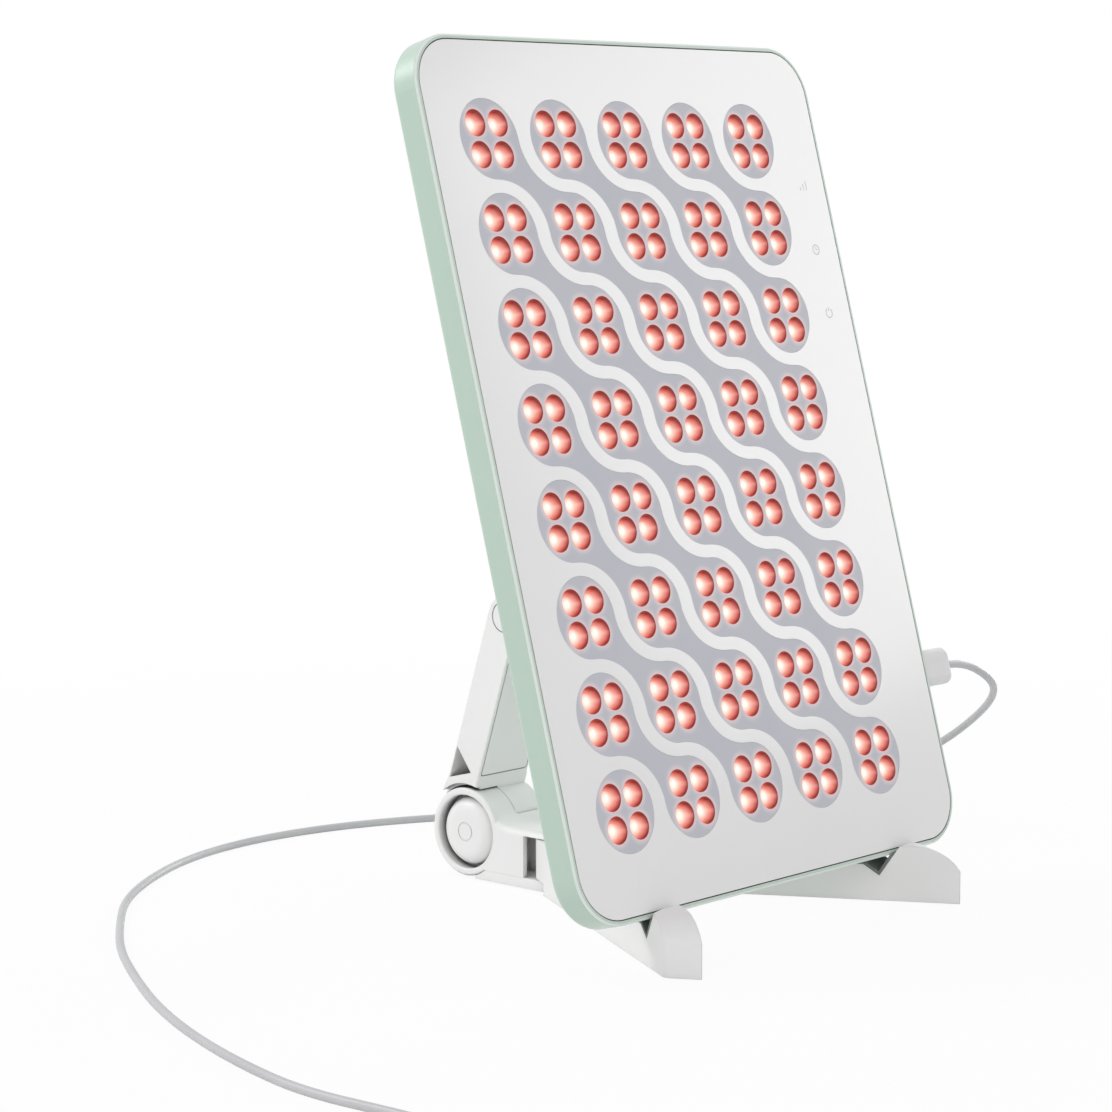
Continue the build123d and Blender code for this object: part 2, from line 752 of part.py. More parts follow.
def line_shift(p, q, distance):
    """Two points moved sideways to the left of the line from p to q."""
    length = hypot(q[0] - p[0], q[1] - p[1])
    ny = -(q[1] - p[1]) / length * distance
    nz = (q[0] - p[0]) / length * distance
    return (p[0] + ny, p[1] + nz), (q[0] + ny, q[1] + nz)


def crossing(a, b, c, d):
    """Where line ab meets line cd."""
    ry, rz = b[0] - a[0], b[1] - a[1]
    sy, sz = d[0] - c[0], d[1] - c[1]
    k = ((c[0] - a[0]) * sz - (c[1] - a[1]) * sy) / (ry * sz - rz * sy)
    return (a[0] + k * ry, a[1] + k * rz)


def notch_strip():
    """Section of the rubber strip that lines the notch and folds onto the deck behind it."""
    top = lip_peak_z - notch_pad_drop
    corner = (notch_y + notch_rear_run, leg_deck_z)
    path = [(slope_point(top), top), (notch_y, notch_floor_z), corner, (corner[0] + notch_flap, leg_deck_z)]
    runs = [line_shift(path[i], path[i + 1], notch_pad_thickness) for i in range(3)]
    upper = [runs[0][0], crossing(*runs[0], *runs[1]), crossing(*runs[1], *runs[2]), runs[2][1]]
    return outline(*path, *reversed(upper))


def make_left_notch_pad():
    """Grey rubber strip in the left leg's notch."""
    plan = place_leg(mirror(extrude(leg_plan(), amount=2 * lip_peak_z), about=Plane.YZ))
    return across(notch_strip(), -panel_width / 2, 0) & plan


def other_side(shape):
    """The same piece on the right."""
    return mirror(shape, about=Plane.YZ)


# ---------------------------------------------------------------- lower arm
arm_up = (-sin(radians(arm_lean)), cos(radians(arm_lean)))
arm_back = (cos(radians(arm_lean)), sin(radians(arm_lean)))


def arm_point(below, behind):
    """World (y, z) of a place below the elbow along the bar and behind its middle."""
    return (elbow[0] - below * arm_up[0] + behind * arm_back[0],
            elbow[1] - below * arm_up[1] + behind * arm_back[1])


def arm_bar_face():
    """Side view of the bar, round at the elbow and long enough to reach the barrel."""
    reach = arm_length - arm_foot_clear
    toe = arm_point(reach, arm_rear + arm_toe)
    bar = outline(arm_point(0, arm_rear), arm_point(arm_toe_start, arm_rear), toe,
                  arm_point(reach, -arm_front), arm_point(0, -arm_front))
    return bar + disc(elbow, elbow_radius)


def arm_window_face():
    """Side view of the triangular window low in the bar's sides."""
    back = arm_rear - arm_back_wall
    return outline(*[arm_point(below, back - ahead) for below, ahead in arm_window])


def arm_channel_face():
    """Side view of the open channel in the bar's back."""
    inner = -arm_front + arm_front_wall
    outer = arm_rear + cut_over
    return outline(arm_point(arm_channel_top, outer), arm_point(arm_channel_top, inner),
                   arm_point(arm_channel_bottom, inner), arm_point(arm_channel_bottom, outer))


def arm_well_face():
    """Side view of the closed hollow behind the side windows."""
    inner = -arm_front + arm_front_wall
    back = arm_rear - arm_back_wall
    apex, low = arm_window[1], arm_window[2]
    return outline(arm_point(arm_well_top, back), arm_point(arm_well_top, inner), arm_point(apex[0], inner),
                   arm_point(apex[0], back - apex[1]), arm_point(low[0], back))


def cover_plane():
    """Plane of the bar's front face, x across, y up the bar."""
    origin = arm_point(0, -arm_front)
    return Plane(origin=(0, origin[0], origin[1]), x_dir=(1, 0, 0), z_dir=(0, -arm_back[0], -arm_back[1]))


def cover_shape(extra):
    """Inset front cover, grown by a clearance."""
    length = arm_cover_bottom - arm_cover_top + 2 * extra
    face = RectangleRounded(arm_cover_width + 2 * extra, length, arm_cover_corner + extra)
    sheet = Pos(0, -(arm_cover_top + arm_cover_bottom) / 2, -arm_cover_thickness) * extrude(
        face, amount=arm_cover_thickness)
    return cover_plane() * sheet


def neck_heel_face():
    """Side view of the neck's heel, from the bar's back down to a tangent on the barrel."""
    top = arm_point(neck_heel, arm_rear)
    dy, dz = top[0] - hinge_y, top[1] - hinge_z
    angle = atan2(dz, dy) - acos(barrel_radius / hypot(dy, dz))
    foot = (hinge_y + barrel_radius * cos(angle), hinge_z + barrel_radius * sin(angle))
    return outline(top, foot, hinge)


def make_arm_frame():
    """Lower arm: saddle over the barrel, its own half of the barrel, hollow back and two elbow ears."""
    half = stand_width / 2
    face = arm_bar_face()
    saddle = disc(hinge, barrel_radius + saddle_gap)
    arm = across(face - saddle, -half, half)
    along = Vector(0, arm_up[0], arm_up[1])
    long_edges = arm.edges().filter_by(lambda edge: abs(edge.tangent_at(0.5).dot(along)) > 0.999999)
    arm = chamfer(long_edges, arm_edge)
    neck = face & disc(hinge, barrel_radius + saddle_gap + neck_height)
    knuckle = neck + neck_heel_face() + disc(hinge, barrel_radius)
    arm += across(knuckle, knuckle_split_x + touch_gap / 2, half)
    liner = neck - disc(hinge, barrel_radius + saddle_inner_gap)
    arm += across(liner, -half + saddle_lip, knuckle_split_x + touch_gap / 2)
    arm -= across(arm_channel_face(), -half + arm_wall, half - arm_wall)
    arm -= across(arm_well_face(), -half + arm_wall, half - arm_wall)
    arm -= across(arm_window_face(), -half - cut_over, half + cut_over)
    for place in arm_rib_places:
        rear = arm_rear - arm_rib_drop
        front = -arm_front + arm_front_wall / 2
        rib = outline(arm_point(place, rear), arm_point(place, front),
                      arm_point(place + arm_rib, front), arm_point(place + arm_rib, rear))
        arm += across(rib, -half + arm_wall / 2, half - arm_wall / 2)
    arm -= cover_shape(arm_cover_gap)
    bay = disc(elbow, elbow_bay_radius)
    inner = half - elbow_ear
    arm -= across(bay, -inner, inner)
    arm -= rod(elbow_pin_radius + seat_clear, -half, half, elbow)
    for side in (-half, half - elbow_cap_thickness):
        arm -= rod(elbow_cap_radius + seam, side, side + elbow_cap_thickness, elbow)
    arm -= rod(shaft_radius + pin_clear, -half, half, hinge)
    arm -= rod(nut_radius + nut_well_clear, nut_seat(), half, hinge)
    return arm - cap_well(1)


def make_elbow_shaft():
    """Pin of the elbow, through both ears."""
    end = stand_width / 2 - elbow_cap_thickness
    return rod(elbow_pin_radius, -end, end, elbow)


def make_elbow_cap(side):
    """Round cover over one end of the elbow pin."""
    end = stand_width / 2
    cap = rod(elbow_cap_radius, end - elbow_cap_thickness, end, elbow)
    cap = chamfer(cap.faces().sort_by(Axis.X)[-1].edges(), elbow_cap_bevel)
    return cap if side > 0 else other_side(cap)


# ---------------------------------------------------------------- upper arm
def arm_tongue_half():
    """Half width of the upper arm, between the elbow's ears."""
    return stand_width / 2 - elbow_ear - touch_gap


def make_upper_arm():
    """Tapered strut from the elbow to the panel, with a groove in its top and bottom."""
    half = arm_tongue_half()
    strut = across(strap(elbow, upper_elbow_radius, head, upper_head_radius), -half, half)
    dy, dz = head[0] - elbow[0], head[1] - elbow[1]
    reach = hypot(dy, dz)
    heading = degrees(atan2(dz, dy))
    length = reach - 2 * upper_groove_margin
    slope = degrees(atan2(upper_elbow_radius - upper_head_radius, reach))
    middle = (upper_elbow_radius + upper_head_radius) / 2
    for sign in (-1, 1):
        groove = Box(upper_groove_width, length, 2 * upper_groove_depth)
        groove = fillet(groove.edges().filter_by(Axis.Z), (upper_groove_width - upper_groove_flat) / 2)
        groove = Pos(0, reach / 2, sign * middle) * Rot(-sign * slope, 0, 0) * groove
        strut -= Pos(0, elbow[0], elbow[1]) * Rot(heading, 0, 0) * groove
    strut -= rod(elbow_pin_radius + pin_clear, -half, half, elbow)
    return strut - rod(head_pin_radius + seat_clear, -half, half, head)


def make_head_pin():
    """Pin fixed in the upper arm, loose in the bracket's ears."""
    end = arm_tongue_half() + touch_gap + bracket_ear + head_pin_end
    return rod(head_pin_radius, -end, end, head)


# ---------------------------------------------------------------- cord
plug_end = panel_point(inlet_y, -panel_depth / 2)
cord_start_x = panel_width / 2 + plug_length + plug_collar_length
floor_z = cord_radius
coil_x = -308.0
coil_y = -208.0
upward = (Align.CENTER, Align.CENTER, Align.MIN)
coil_reach = coil_mean_radius + (coil_layers - 1) * cord_radius
coil_edge_x = coil_x + coil_reach
tail_y = coil_y - coil_reach
adaptor_front_x = coil_x - tail_reach - relief_length
cord_route = [
    (cord_start_x, *plug_end), (157.5, *plug_end), (176, -57, 79.5), (189, -49, 69), (195.5, -32.5, 55.5),
    (197, -11, 40.5), (192, 15.5, 27), (181, 46.5, 16.5), (163, 80, 9.5), (139.5, 113.5, 4.7),
    (110.5, 146, 2.4), (77, 173.5, floor_z), (40, 194, floor_z), (1, 206, floor_z), (-39, 208, floor_z),
    (-77, 199.5, floor_z), (-114, 181, floor_z), (-147.5, 157, floor_z), (-176, 126, floor_z),
    (-204, 92.5, floor_z), (-228, 55, floor_z), (-250, 17, floor_z), (-268, -23.5, floor_z),
    (-281.5, -65, floor_z), (-290, -105, floor_z), (coil_edge_x, -148, floor_z),
    (coil_edge_x, coil_y + coil_lead, floor_z)]


def corner_radii(points):
    """Arc radius at each inner point: 0.45 of the shorter run over the tangent of half the turn."""
    radii = []
    for a, b, c in zip(points, points[1:], points[2:]):
        before = Vector(*b) - Vector(*a)
        after = Vector(*c) - Vector(*b)
        turn = radians(before.get_angle(after))
        radii.append(0.45 * min(before.length, after.length) / tan(turn / 2))
    return radii


def make_cord_tube():
    """Free cord from the plug to the coil: straight runs joined by tangent arcs."""
    radii = corner_radii(cord_route)
    path = FilletPolyline(*cord_route, radius=radii)
    section = Plane(origin=path @ 0, z_dir=path % 0) * Circle(cord_radius)
    tube = sweep(section, path=path)
    print("cord radii", [round(r, 1) for r in radii])
    print("cord length", round(path.length, 1), "volume ratio",
          round(tube.volume / (pi * cord_radius ** 2 * path.length), 4))
    return tube


def make_cord_coil():
    """Outer shape of the wound spare cord, with its two straight leads."""
    build = coil_layers * cord_radius
    ring = Pos(coil_mean_radius, build) * RectangleRounded(2 * build, 2 * build, cord_radius)
    coil = Pos(coil_x, coil_y, 0) * revolve(Plane.XZ * ring, Axis.Z)
    lead = Rot(-90, 0, 0) * Cylinder(cord_radius, coil_lead, align=upward)
    tail = Rot(0, -90, 0) * Cylinder(cord_radius, tail_reach, align=upward)
    return coil + Pos(coil_edge_x, coil_y, floor_z) * lead + Pos(coil_x, tail_y, tail_z) * tail


def make_adaptor_relief():
    """Tapered sleeve where the cord enters the wall adaptor."""
    cone = Cone(relief_root_radius, relief_tip_radius, relief_length, align=upward)
    return Pos(adaptor_front_x, tail_y, tail_z) * Rot(0, 90, 0) * cone


def make_adaptor_body():
    """Plug-in power supply, lying on the floor beside the coil."""
    case = Pos(adaptor_front_x - adaptor_length / 2, tail_y, adaptor_height / 2) * Box(
        adaptor_length, adaptor_width, adaptor_height)
    return fillet(case.edges(), adaptor_round)


def make_adaptor_blades():
    """Two flat contact blades."""
    blades = []
    for sign in (-1, 1):
        x = adaptor_front_x - adaptor_length - blade_length / 2
        blades.append(Pos(x, tail_y + sign * blade_pitch / 2, adaptor_height / 2) * Box(
            blade_length, blade_thickness, blade_width))
    return Compound(children=blades)


# ---------------------------------------------------------------- write the nodes
def panel_nodes():
    """Pieces drawn in the panel's frame."""
    return {
        "back_shell": make_back_shell(),
        "front_plate": make_front_plate(),
        "reflector_plate": make_reflector_plate(),
        "led_board": make_led_board(),
        "led_chips": make_led_chips(),
        "touch_sensor": key_strip(-2 * seam),
        "driver_board": make_driver_board(),
        "dc_socket": make_dc_socket(),
        "power_plug": make_power_plug(),
        "head_bracket": make_head_bracket(),
        "bracket_screws": make_bracket_screws(),
    }


def stand_nodes():
    """Pieces of the base, the legs and the arms."""
    leg = make_left_leg()
    pad = place_leg(foot_pad_blank())
    strip = make_left_notch_pad()
    return {
        "hub_body": make_hub_body(),
        "hub_base_plate": make_hub_base_plate(),
        "hub_screws": make_hub_screws(),
        "hub_pad": hub_pad_blank(),
        "hinge_shaft": make_hinge_shaft(),
        "hinge_nut": make_hinge_nut(),
        "friction_washers": make_friction_washers(),
        "hinge_cap_left": make_cap(-1),
        "hinge_cap_right": make_cap(1),
        "leg_pin_left": leg_pin_shape(-1, leg_pin_radius),
        "leg_pin_right": leg_pin_shape(1, leg_pin_radius),
        "leg_left": leg,
        "leg_right": other_side(leg),
        "foot_pad_left": pad,
        "foot_pad_right": other_side(pad),
        "notch_pad_left": strip,
        "notch_pad_right": other_side(strip),
        "arm_frame": make_arm_frame(),
        "arm_front_cover": cover_shape(0),
        "elbow_shaft": make_elbow_shaft(),
        "elbow_cap_left": make_elbow_cap(-1),
        "elbow_cap_right": make_elbow_cap(1),
        "upper_arm": make_upper_arm(),
        "head_pin": make_head_pin(),
    }


def cord_nodes():
    """The power cord and what is on it, apart from its plug."""
    return {
        "cord_tube": make_cord_tube(),
        "cord_coil": make_cord_coil(),
        "adaptor_relief": make_adaptor_relief(),
        "adaptor_body": make_adaptor_body(),
        "adaptor_blades": make_adaptor_blades(),
    }


os.makedirs("parts", exist_ok=True)
for name, shape in panel_nodes().items():
    export_step(panel_plane.location * shape, f"parts/{name}.step")
for name, shape in {**stand_nodes(), **cord_nodes()}.items():
    export_step(shape, f"parts/{name}.step")
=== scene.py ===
import bmesh
import bpy
from math import cos, pi, radians, sin
from mathutils import Matrix, Vector


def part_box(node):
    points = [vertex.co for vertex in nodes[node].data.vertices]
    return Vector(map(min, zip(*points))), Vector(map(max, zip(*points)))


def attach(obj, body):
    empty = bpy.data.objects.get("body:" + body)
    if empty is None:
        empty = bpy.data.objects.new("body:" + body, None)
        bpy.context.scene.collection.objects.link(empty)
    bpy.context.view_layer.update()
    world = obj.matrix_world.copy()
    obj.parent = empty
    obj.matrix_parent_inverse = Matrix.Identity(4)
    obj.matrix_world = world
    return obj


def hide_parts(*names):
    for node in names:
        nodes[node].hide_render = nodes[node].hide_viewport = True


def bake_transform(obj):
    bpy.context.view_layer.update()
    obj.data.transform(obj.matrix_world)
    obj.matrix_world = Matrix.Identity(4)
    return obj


# Light therapy lamp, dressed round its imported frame. Metres, +Z up, the lit panel faces -Y.
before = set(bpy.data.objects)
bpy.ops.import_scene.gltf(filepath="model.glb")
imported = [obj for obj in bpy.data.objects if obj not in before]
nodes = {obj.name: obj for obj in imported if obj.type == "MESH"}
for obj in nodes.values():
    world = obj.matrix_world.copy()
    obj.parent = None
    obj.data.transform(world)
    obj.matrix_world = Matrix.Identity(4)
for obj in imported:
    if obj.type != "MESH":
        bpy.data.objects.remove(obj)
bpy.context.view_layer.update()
mm = 0.001


# shared helpers
def hexColour(text):
    # sRGB hex to the linear colour that the shaders take
    channels = [int(text[i:i + 2], 16) / 255 for i in (1, 3, 5)]
    linear = [c / 12.92 if c <= 0.04045 else ((c + 0.055) / 1.055) ** 2.4 for c in channels]
    return (*linear, 1.0)


def addNode(tree, kind, settings=None, links=None):
    # a setting is one of the node's own properties, or else the value of an input socket
    node = tree.nodes.new(kind)
    for key, value in (settings or {}).items():
        if isinstance(key, str) and hasattr(node, key):
            setattr(node, key, value)
        else:
            node.inputs[key].default_value = value
    for key, source in (links or {}).items():
        tree.links.new(source, node.inputs[key])
    return node


def newMaterial(name, surface):
    material = bpy.data.materials.new(name)
    material.use_nodes = True
    tree = material.node_tree
    tree.nodes.clear()
    shader = addNode(tree, "ShaderNodeBsdfPrincipled", surface)
    addNode(tree, "ShaderNodeOutputMaterial", None, {"Surface": shader.outputs[0]})
    return material, tree, shader


def setStops(ramp, stops):
    # colour ramp from (position, hex) pairs
    elements = ramp.color_ramp.elements
    while len(elements) < len(stops):
        elements.new(0.5)
    for element, (position, text) in zip(elements, stops):
        element.position = position
        element.color = hexColour(text)


def setMaterial(mesh, material):
    mesh.materials.clear()
    mesh.materials.append(material)


def dressNodes(material, *names):
    for name in names:
        setMaterial(nodes[name].data, material)


def makePiece(name, mesh, material, body, replaced=()):
    piece = bpy.data.objects.new(name, mesh)
    bpy.context.scene.collection.objects.link(piece)
    setMaterial(mesh, material)
    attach(piece, body)
    if replaced:
        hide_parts(*replaced)
    return piece


def meshFrom(build, place=None, sharpDegrees=35):
    # turn a bmesh into a smooth-shaded mesh whose steep edges stay crisp
    mesh = bpy.data.meshes.new("built")
    if place is not None:
        build.transform(place)
    bmesh.ops.recalc_face_normals(build, faces=build.faces)
    for face in build.faces:
        face.smooth = True
    for edge in build.edges:
        bends = edge.calc_face_angle(0) if len(edge.link_faces) == 2 else pi
        edge.smooth = bends < radians(sharpDegrees)
    build.to_mesh(mesh)
    build.free()
    return mesh


def joinBuilds(builds):
    # several bmeshes in one
    whole = bmesh.new()
    for build in builds:
        mesh = bpy.data.meshes.new("share")
        build.to_mesh(mesh)
        build.free()
        whole.from_mesh(mesh)
        bpy.data.meshes.remove(mesh)
    return whole


# the panel's own frame, in millimetres: x to the side, y up the panel, z out of its front
panel = {
    "leanDegrees": 15.2,
    "width": 243.0,
    "height": 350.0,
    "corner": 21.8,
    "cornerSteps": 16,
    "rim": 1.9,
    "frontThickness": 1.4,
    "reflectorThickness": 5.0,
}
leanSin = sin(radians(panel["leanDegrees"]))
leanCos = cos(radians(panel["leanDegrees"]))
frontLow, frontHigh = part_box("front_plate")
panelOut = Vector((0, -leanCos, leanSin))
panelOrigin = (frontLow + frontHigh) / 2 + panelOut * panel["frontThickness"] / 2 * mm
panelOrigin.x = 0
panelTurn = Matrix((
    (1, 0, 0, 0),
    (0, leanSin, -leanCos, 0),
    (0, leanCos, leanSin, 0),
    (0, 0, 0, 1)))
panelPlace = Matrix.Translation(panelOrigin) @ panelTurn @ Matrix.Scale(mm, 4)


def sunk(depth):
    # the panel's frame, moved in from its front
    return panelPlace @ Matrix.Translation((0, 0, -depth))


# light field: clusters of four cups, linked by slanting channels
field = {
    "columns": 5,
    "rows": 8,
    "pitchX": 40.0,
    "pitchY": 38.0,
    "offsetX": -6.6,
    "padRadius": 16.3,
    "cupPitch": 12.7,
    "arcSteps": 14,
    "cupSteps": 36,
}


def padCentre(column, row):
    return Vector((field["offsetX"] + (column - (field["columns"] - 1) / 2) * field["pitchX"],
                   ((field["rows"] - 1) / 2 - row) * field["pitchY"]))


def cupCentres():
    half = field["cupPitch"] / 2
    return [padCentre(column, row) + Vector((sx * half, sy * half))
            for column in range(field["columns"]) for row in range(field["rows"])
            for sx in (-1, 1) for sy in (-1, 1)]


# camera
cameraSettings = {
    "place": (-0.9895, -0.85495, 0.3021),
    "forward": (0.734219, 0.668526, -0.118300),
    "right": (0.672987, -0.739647, -0.002998),
    "lens": 102.75,
    "sensor": 36.0,
    "nearest": 0.05,
    "farthest": 60,
}


def makeCamera(s):
    data = bpy.data.cameras.new("camera")
    data.lens = s["lens"]
    data.sensor_width = s["sensor"]
    data.clip_start = s["nearest"]
    data.clip_end = s["farthest"]
    camera = bpy.data.objects.new("camera", data)
    bpy.context.scene.collection.objects.link(camera)
    forward = Vector(s["forward"]).normalized()
    up = Vector(s["right"]).cross(forward).normalized()
    right = forward.cross(up)
    turn = Matrix((right, up, -forward)).transposed()
    camera.matrix_world = Matrix.Translation(s["place"]) @ turn.to_4x4()
    bpy.context.scene.camera = camera


makeCamera(cameraSettings)
print("camera placed")


# Moulded plastics. A spark-eroded mould leaves a fine even grain, which softens each highlight. The
# grain is drawn a few times as coarse as the real one, or it wouldn't show. The colour drifts by a
# percent or two over a hand's width, and moulded corners are never dead sharp. The gaps between two
# mouldings get painted shade: their colour is darkened by how enclosed they are. Sizes in
# millimetres.
moulding = {
    "ior": 1.53,                   # ABS, where a plastic gives none of its own
    "driftStops": (0.3, 0.7),      # noise values that take the plastic's one colour and its other
    "paintedShadeStops": (0.1, 0.42),   # openness at which the painted shade in a gap is darkest, and at which it is clear
    "paintedShadeSamples": 6,
    "edgeSamples": 4,
    "detail": 2.0,
}
multiplied = {"data_type": "RGBA", "blend_type": "MULTIPLY", 0: 1.0}


# painted shade: the colour is darkened where little of the surroundings is open to a point
def paintCreviceShade(tree, colour, s):
    openness = addNode(tree, "ShaderNodeAmbientOcclusion",
                       {"samples": moulding["paintedShadeSamples"], "Distance": s["paintedShadeReach"] * mm})
    shade = addNode(tree, "ShaderNodeValToRGB", None, {"Fac": openness.outputs["AO"]})
    darkest, clear = moulding["paintedShadeStops"]
    setStops(shade, [(darkest, s["paintedShadeColour"]), (clear, "#FFFFFF")])
    return addNode(tree, "ShaderNodeMix", multiplied, {6: colour, 7: shade.outputs[0]}).outputs[2]


def paintRimHighlightAndShade(tree, colour, edge, s):
    # painted light, by how far the surface faces out of the panel's front: a line of painted shade,
    # then a painted highlight on the bevel
    own = addNode(tree, "ShaderNodeVectorTransform",
                  {"vector_type": "NORMAL", "convert_from": "WORLD", "convert_to": "OBJECT"},
                  {0: edge.outputs[0]})
    facing = addNode(tree, "ShaderNodeVectorMath", {"operation": "DOT_PRODUCT", 1: panelOut},
                     {0: own.outputs[0]})
    deep = addNode(tree, "ShaderNodeValToRGB", None, {"Fac": facing.outputs["Value"]})
    setStops(deep, s["rimPaintedShade"])
    deeper = addNode(tree, "ShaderNodeMix", multiplied, {6: colour, 7: deep.outputs[0]})
    pale = addNode(tree, "ShaderNodeValToRGB", None, {"Fac": facing.outputs["Value"]})
    setStops(pale, s["bevelHighlightShare"])
    return addNode(tree, "ShaderNodeMix", {"data_type": "RGBA", 7: hexColour(s["bevelHighlightColour"])},
                   {0: pale.outputs[0], 6: deeper.outputs[2]}).outputs[2]


def mouldedPlastic(name, s):
    surface = {"Roughness": s["roughness"], "IOR": s.get("ior", moulding["ior"])}
    if "coat" in s:
        surface.update({"Coat Weight": s["coat"], "Coat Roughness": s["coatRoughness"]})
    material, tree, shader = newMaterial(name, surface)
    place = addNode(tree, "ShaderNodeTexCoord")
    drift = addNode(tree, "ShaderNodeTexNoise",
                    {"Scale": 1 / (s["driftSize"] * mm), "Detail": moulding["detail"]},
                    {"Vector": place.outputs["Object"]})
    ramp = addNode(tree, "ShaderNodeValToRGB", None, {"Fac": drift.outputs[0]})
    one, other = moulding["driftStops"]
    setStops(ramp, [(one, s["colour"]), (other, s["colourDrift"])])
    colour = ramp.outputs[0]
    # painted shade in gaps and hollows, for the plastics that have it
    if "paintedShadeReach" in s:
        colour = paintCreviceShade(tree, colour, s)
    grain = addNode(tree, "ShaderNodeTexNoise",
                    {"Scale": 1 / (s["grainSize"] * mm), "Detail": moulding["detail"]},
                    {"Vector": place.outputs["Object"]})
    bump = addNode(tree, "ShaderNodeBump",
                   {"Strength": s["grainStrength"], "Distance": s["grainDepth"] * mm},
                   {"Height": grain.outputs[0]})
    if "edgeRound" in s:
        edge = addNode(tree, "ShaderNodeBevel",
                       {"samples": moulding["edgeSamples"], "Radius": s["edgeRound"] * mm})
        tree.links.new(edge.outputs[0], bump.inputs["Normal"])
        if "bevelHighlightColour" in s:
            colour = paintRimHighlightAndShade(tree, colour, edge, s)
    tree.links.new(colour, shader.inputs["Base Color"])
    tree.links.new(bump.outputs[0], shader.inputs["Normal"])
    rough = addNode(tree, "ShaderNodeMapRange",
                    {"To Min": s["roughness"] - s["roughnessDrift"],
                     "To Max": s["roughness"] + s["roughnessDrift"]},
                    {"Value": drift.outputs[0]})
    tree.links.new(rough.outputs[0], shader.inputs["Roughness"])
    return material


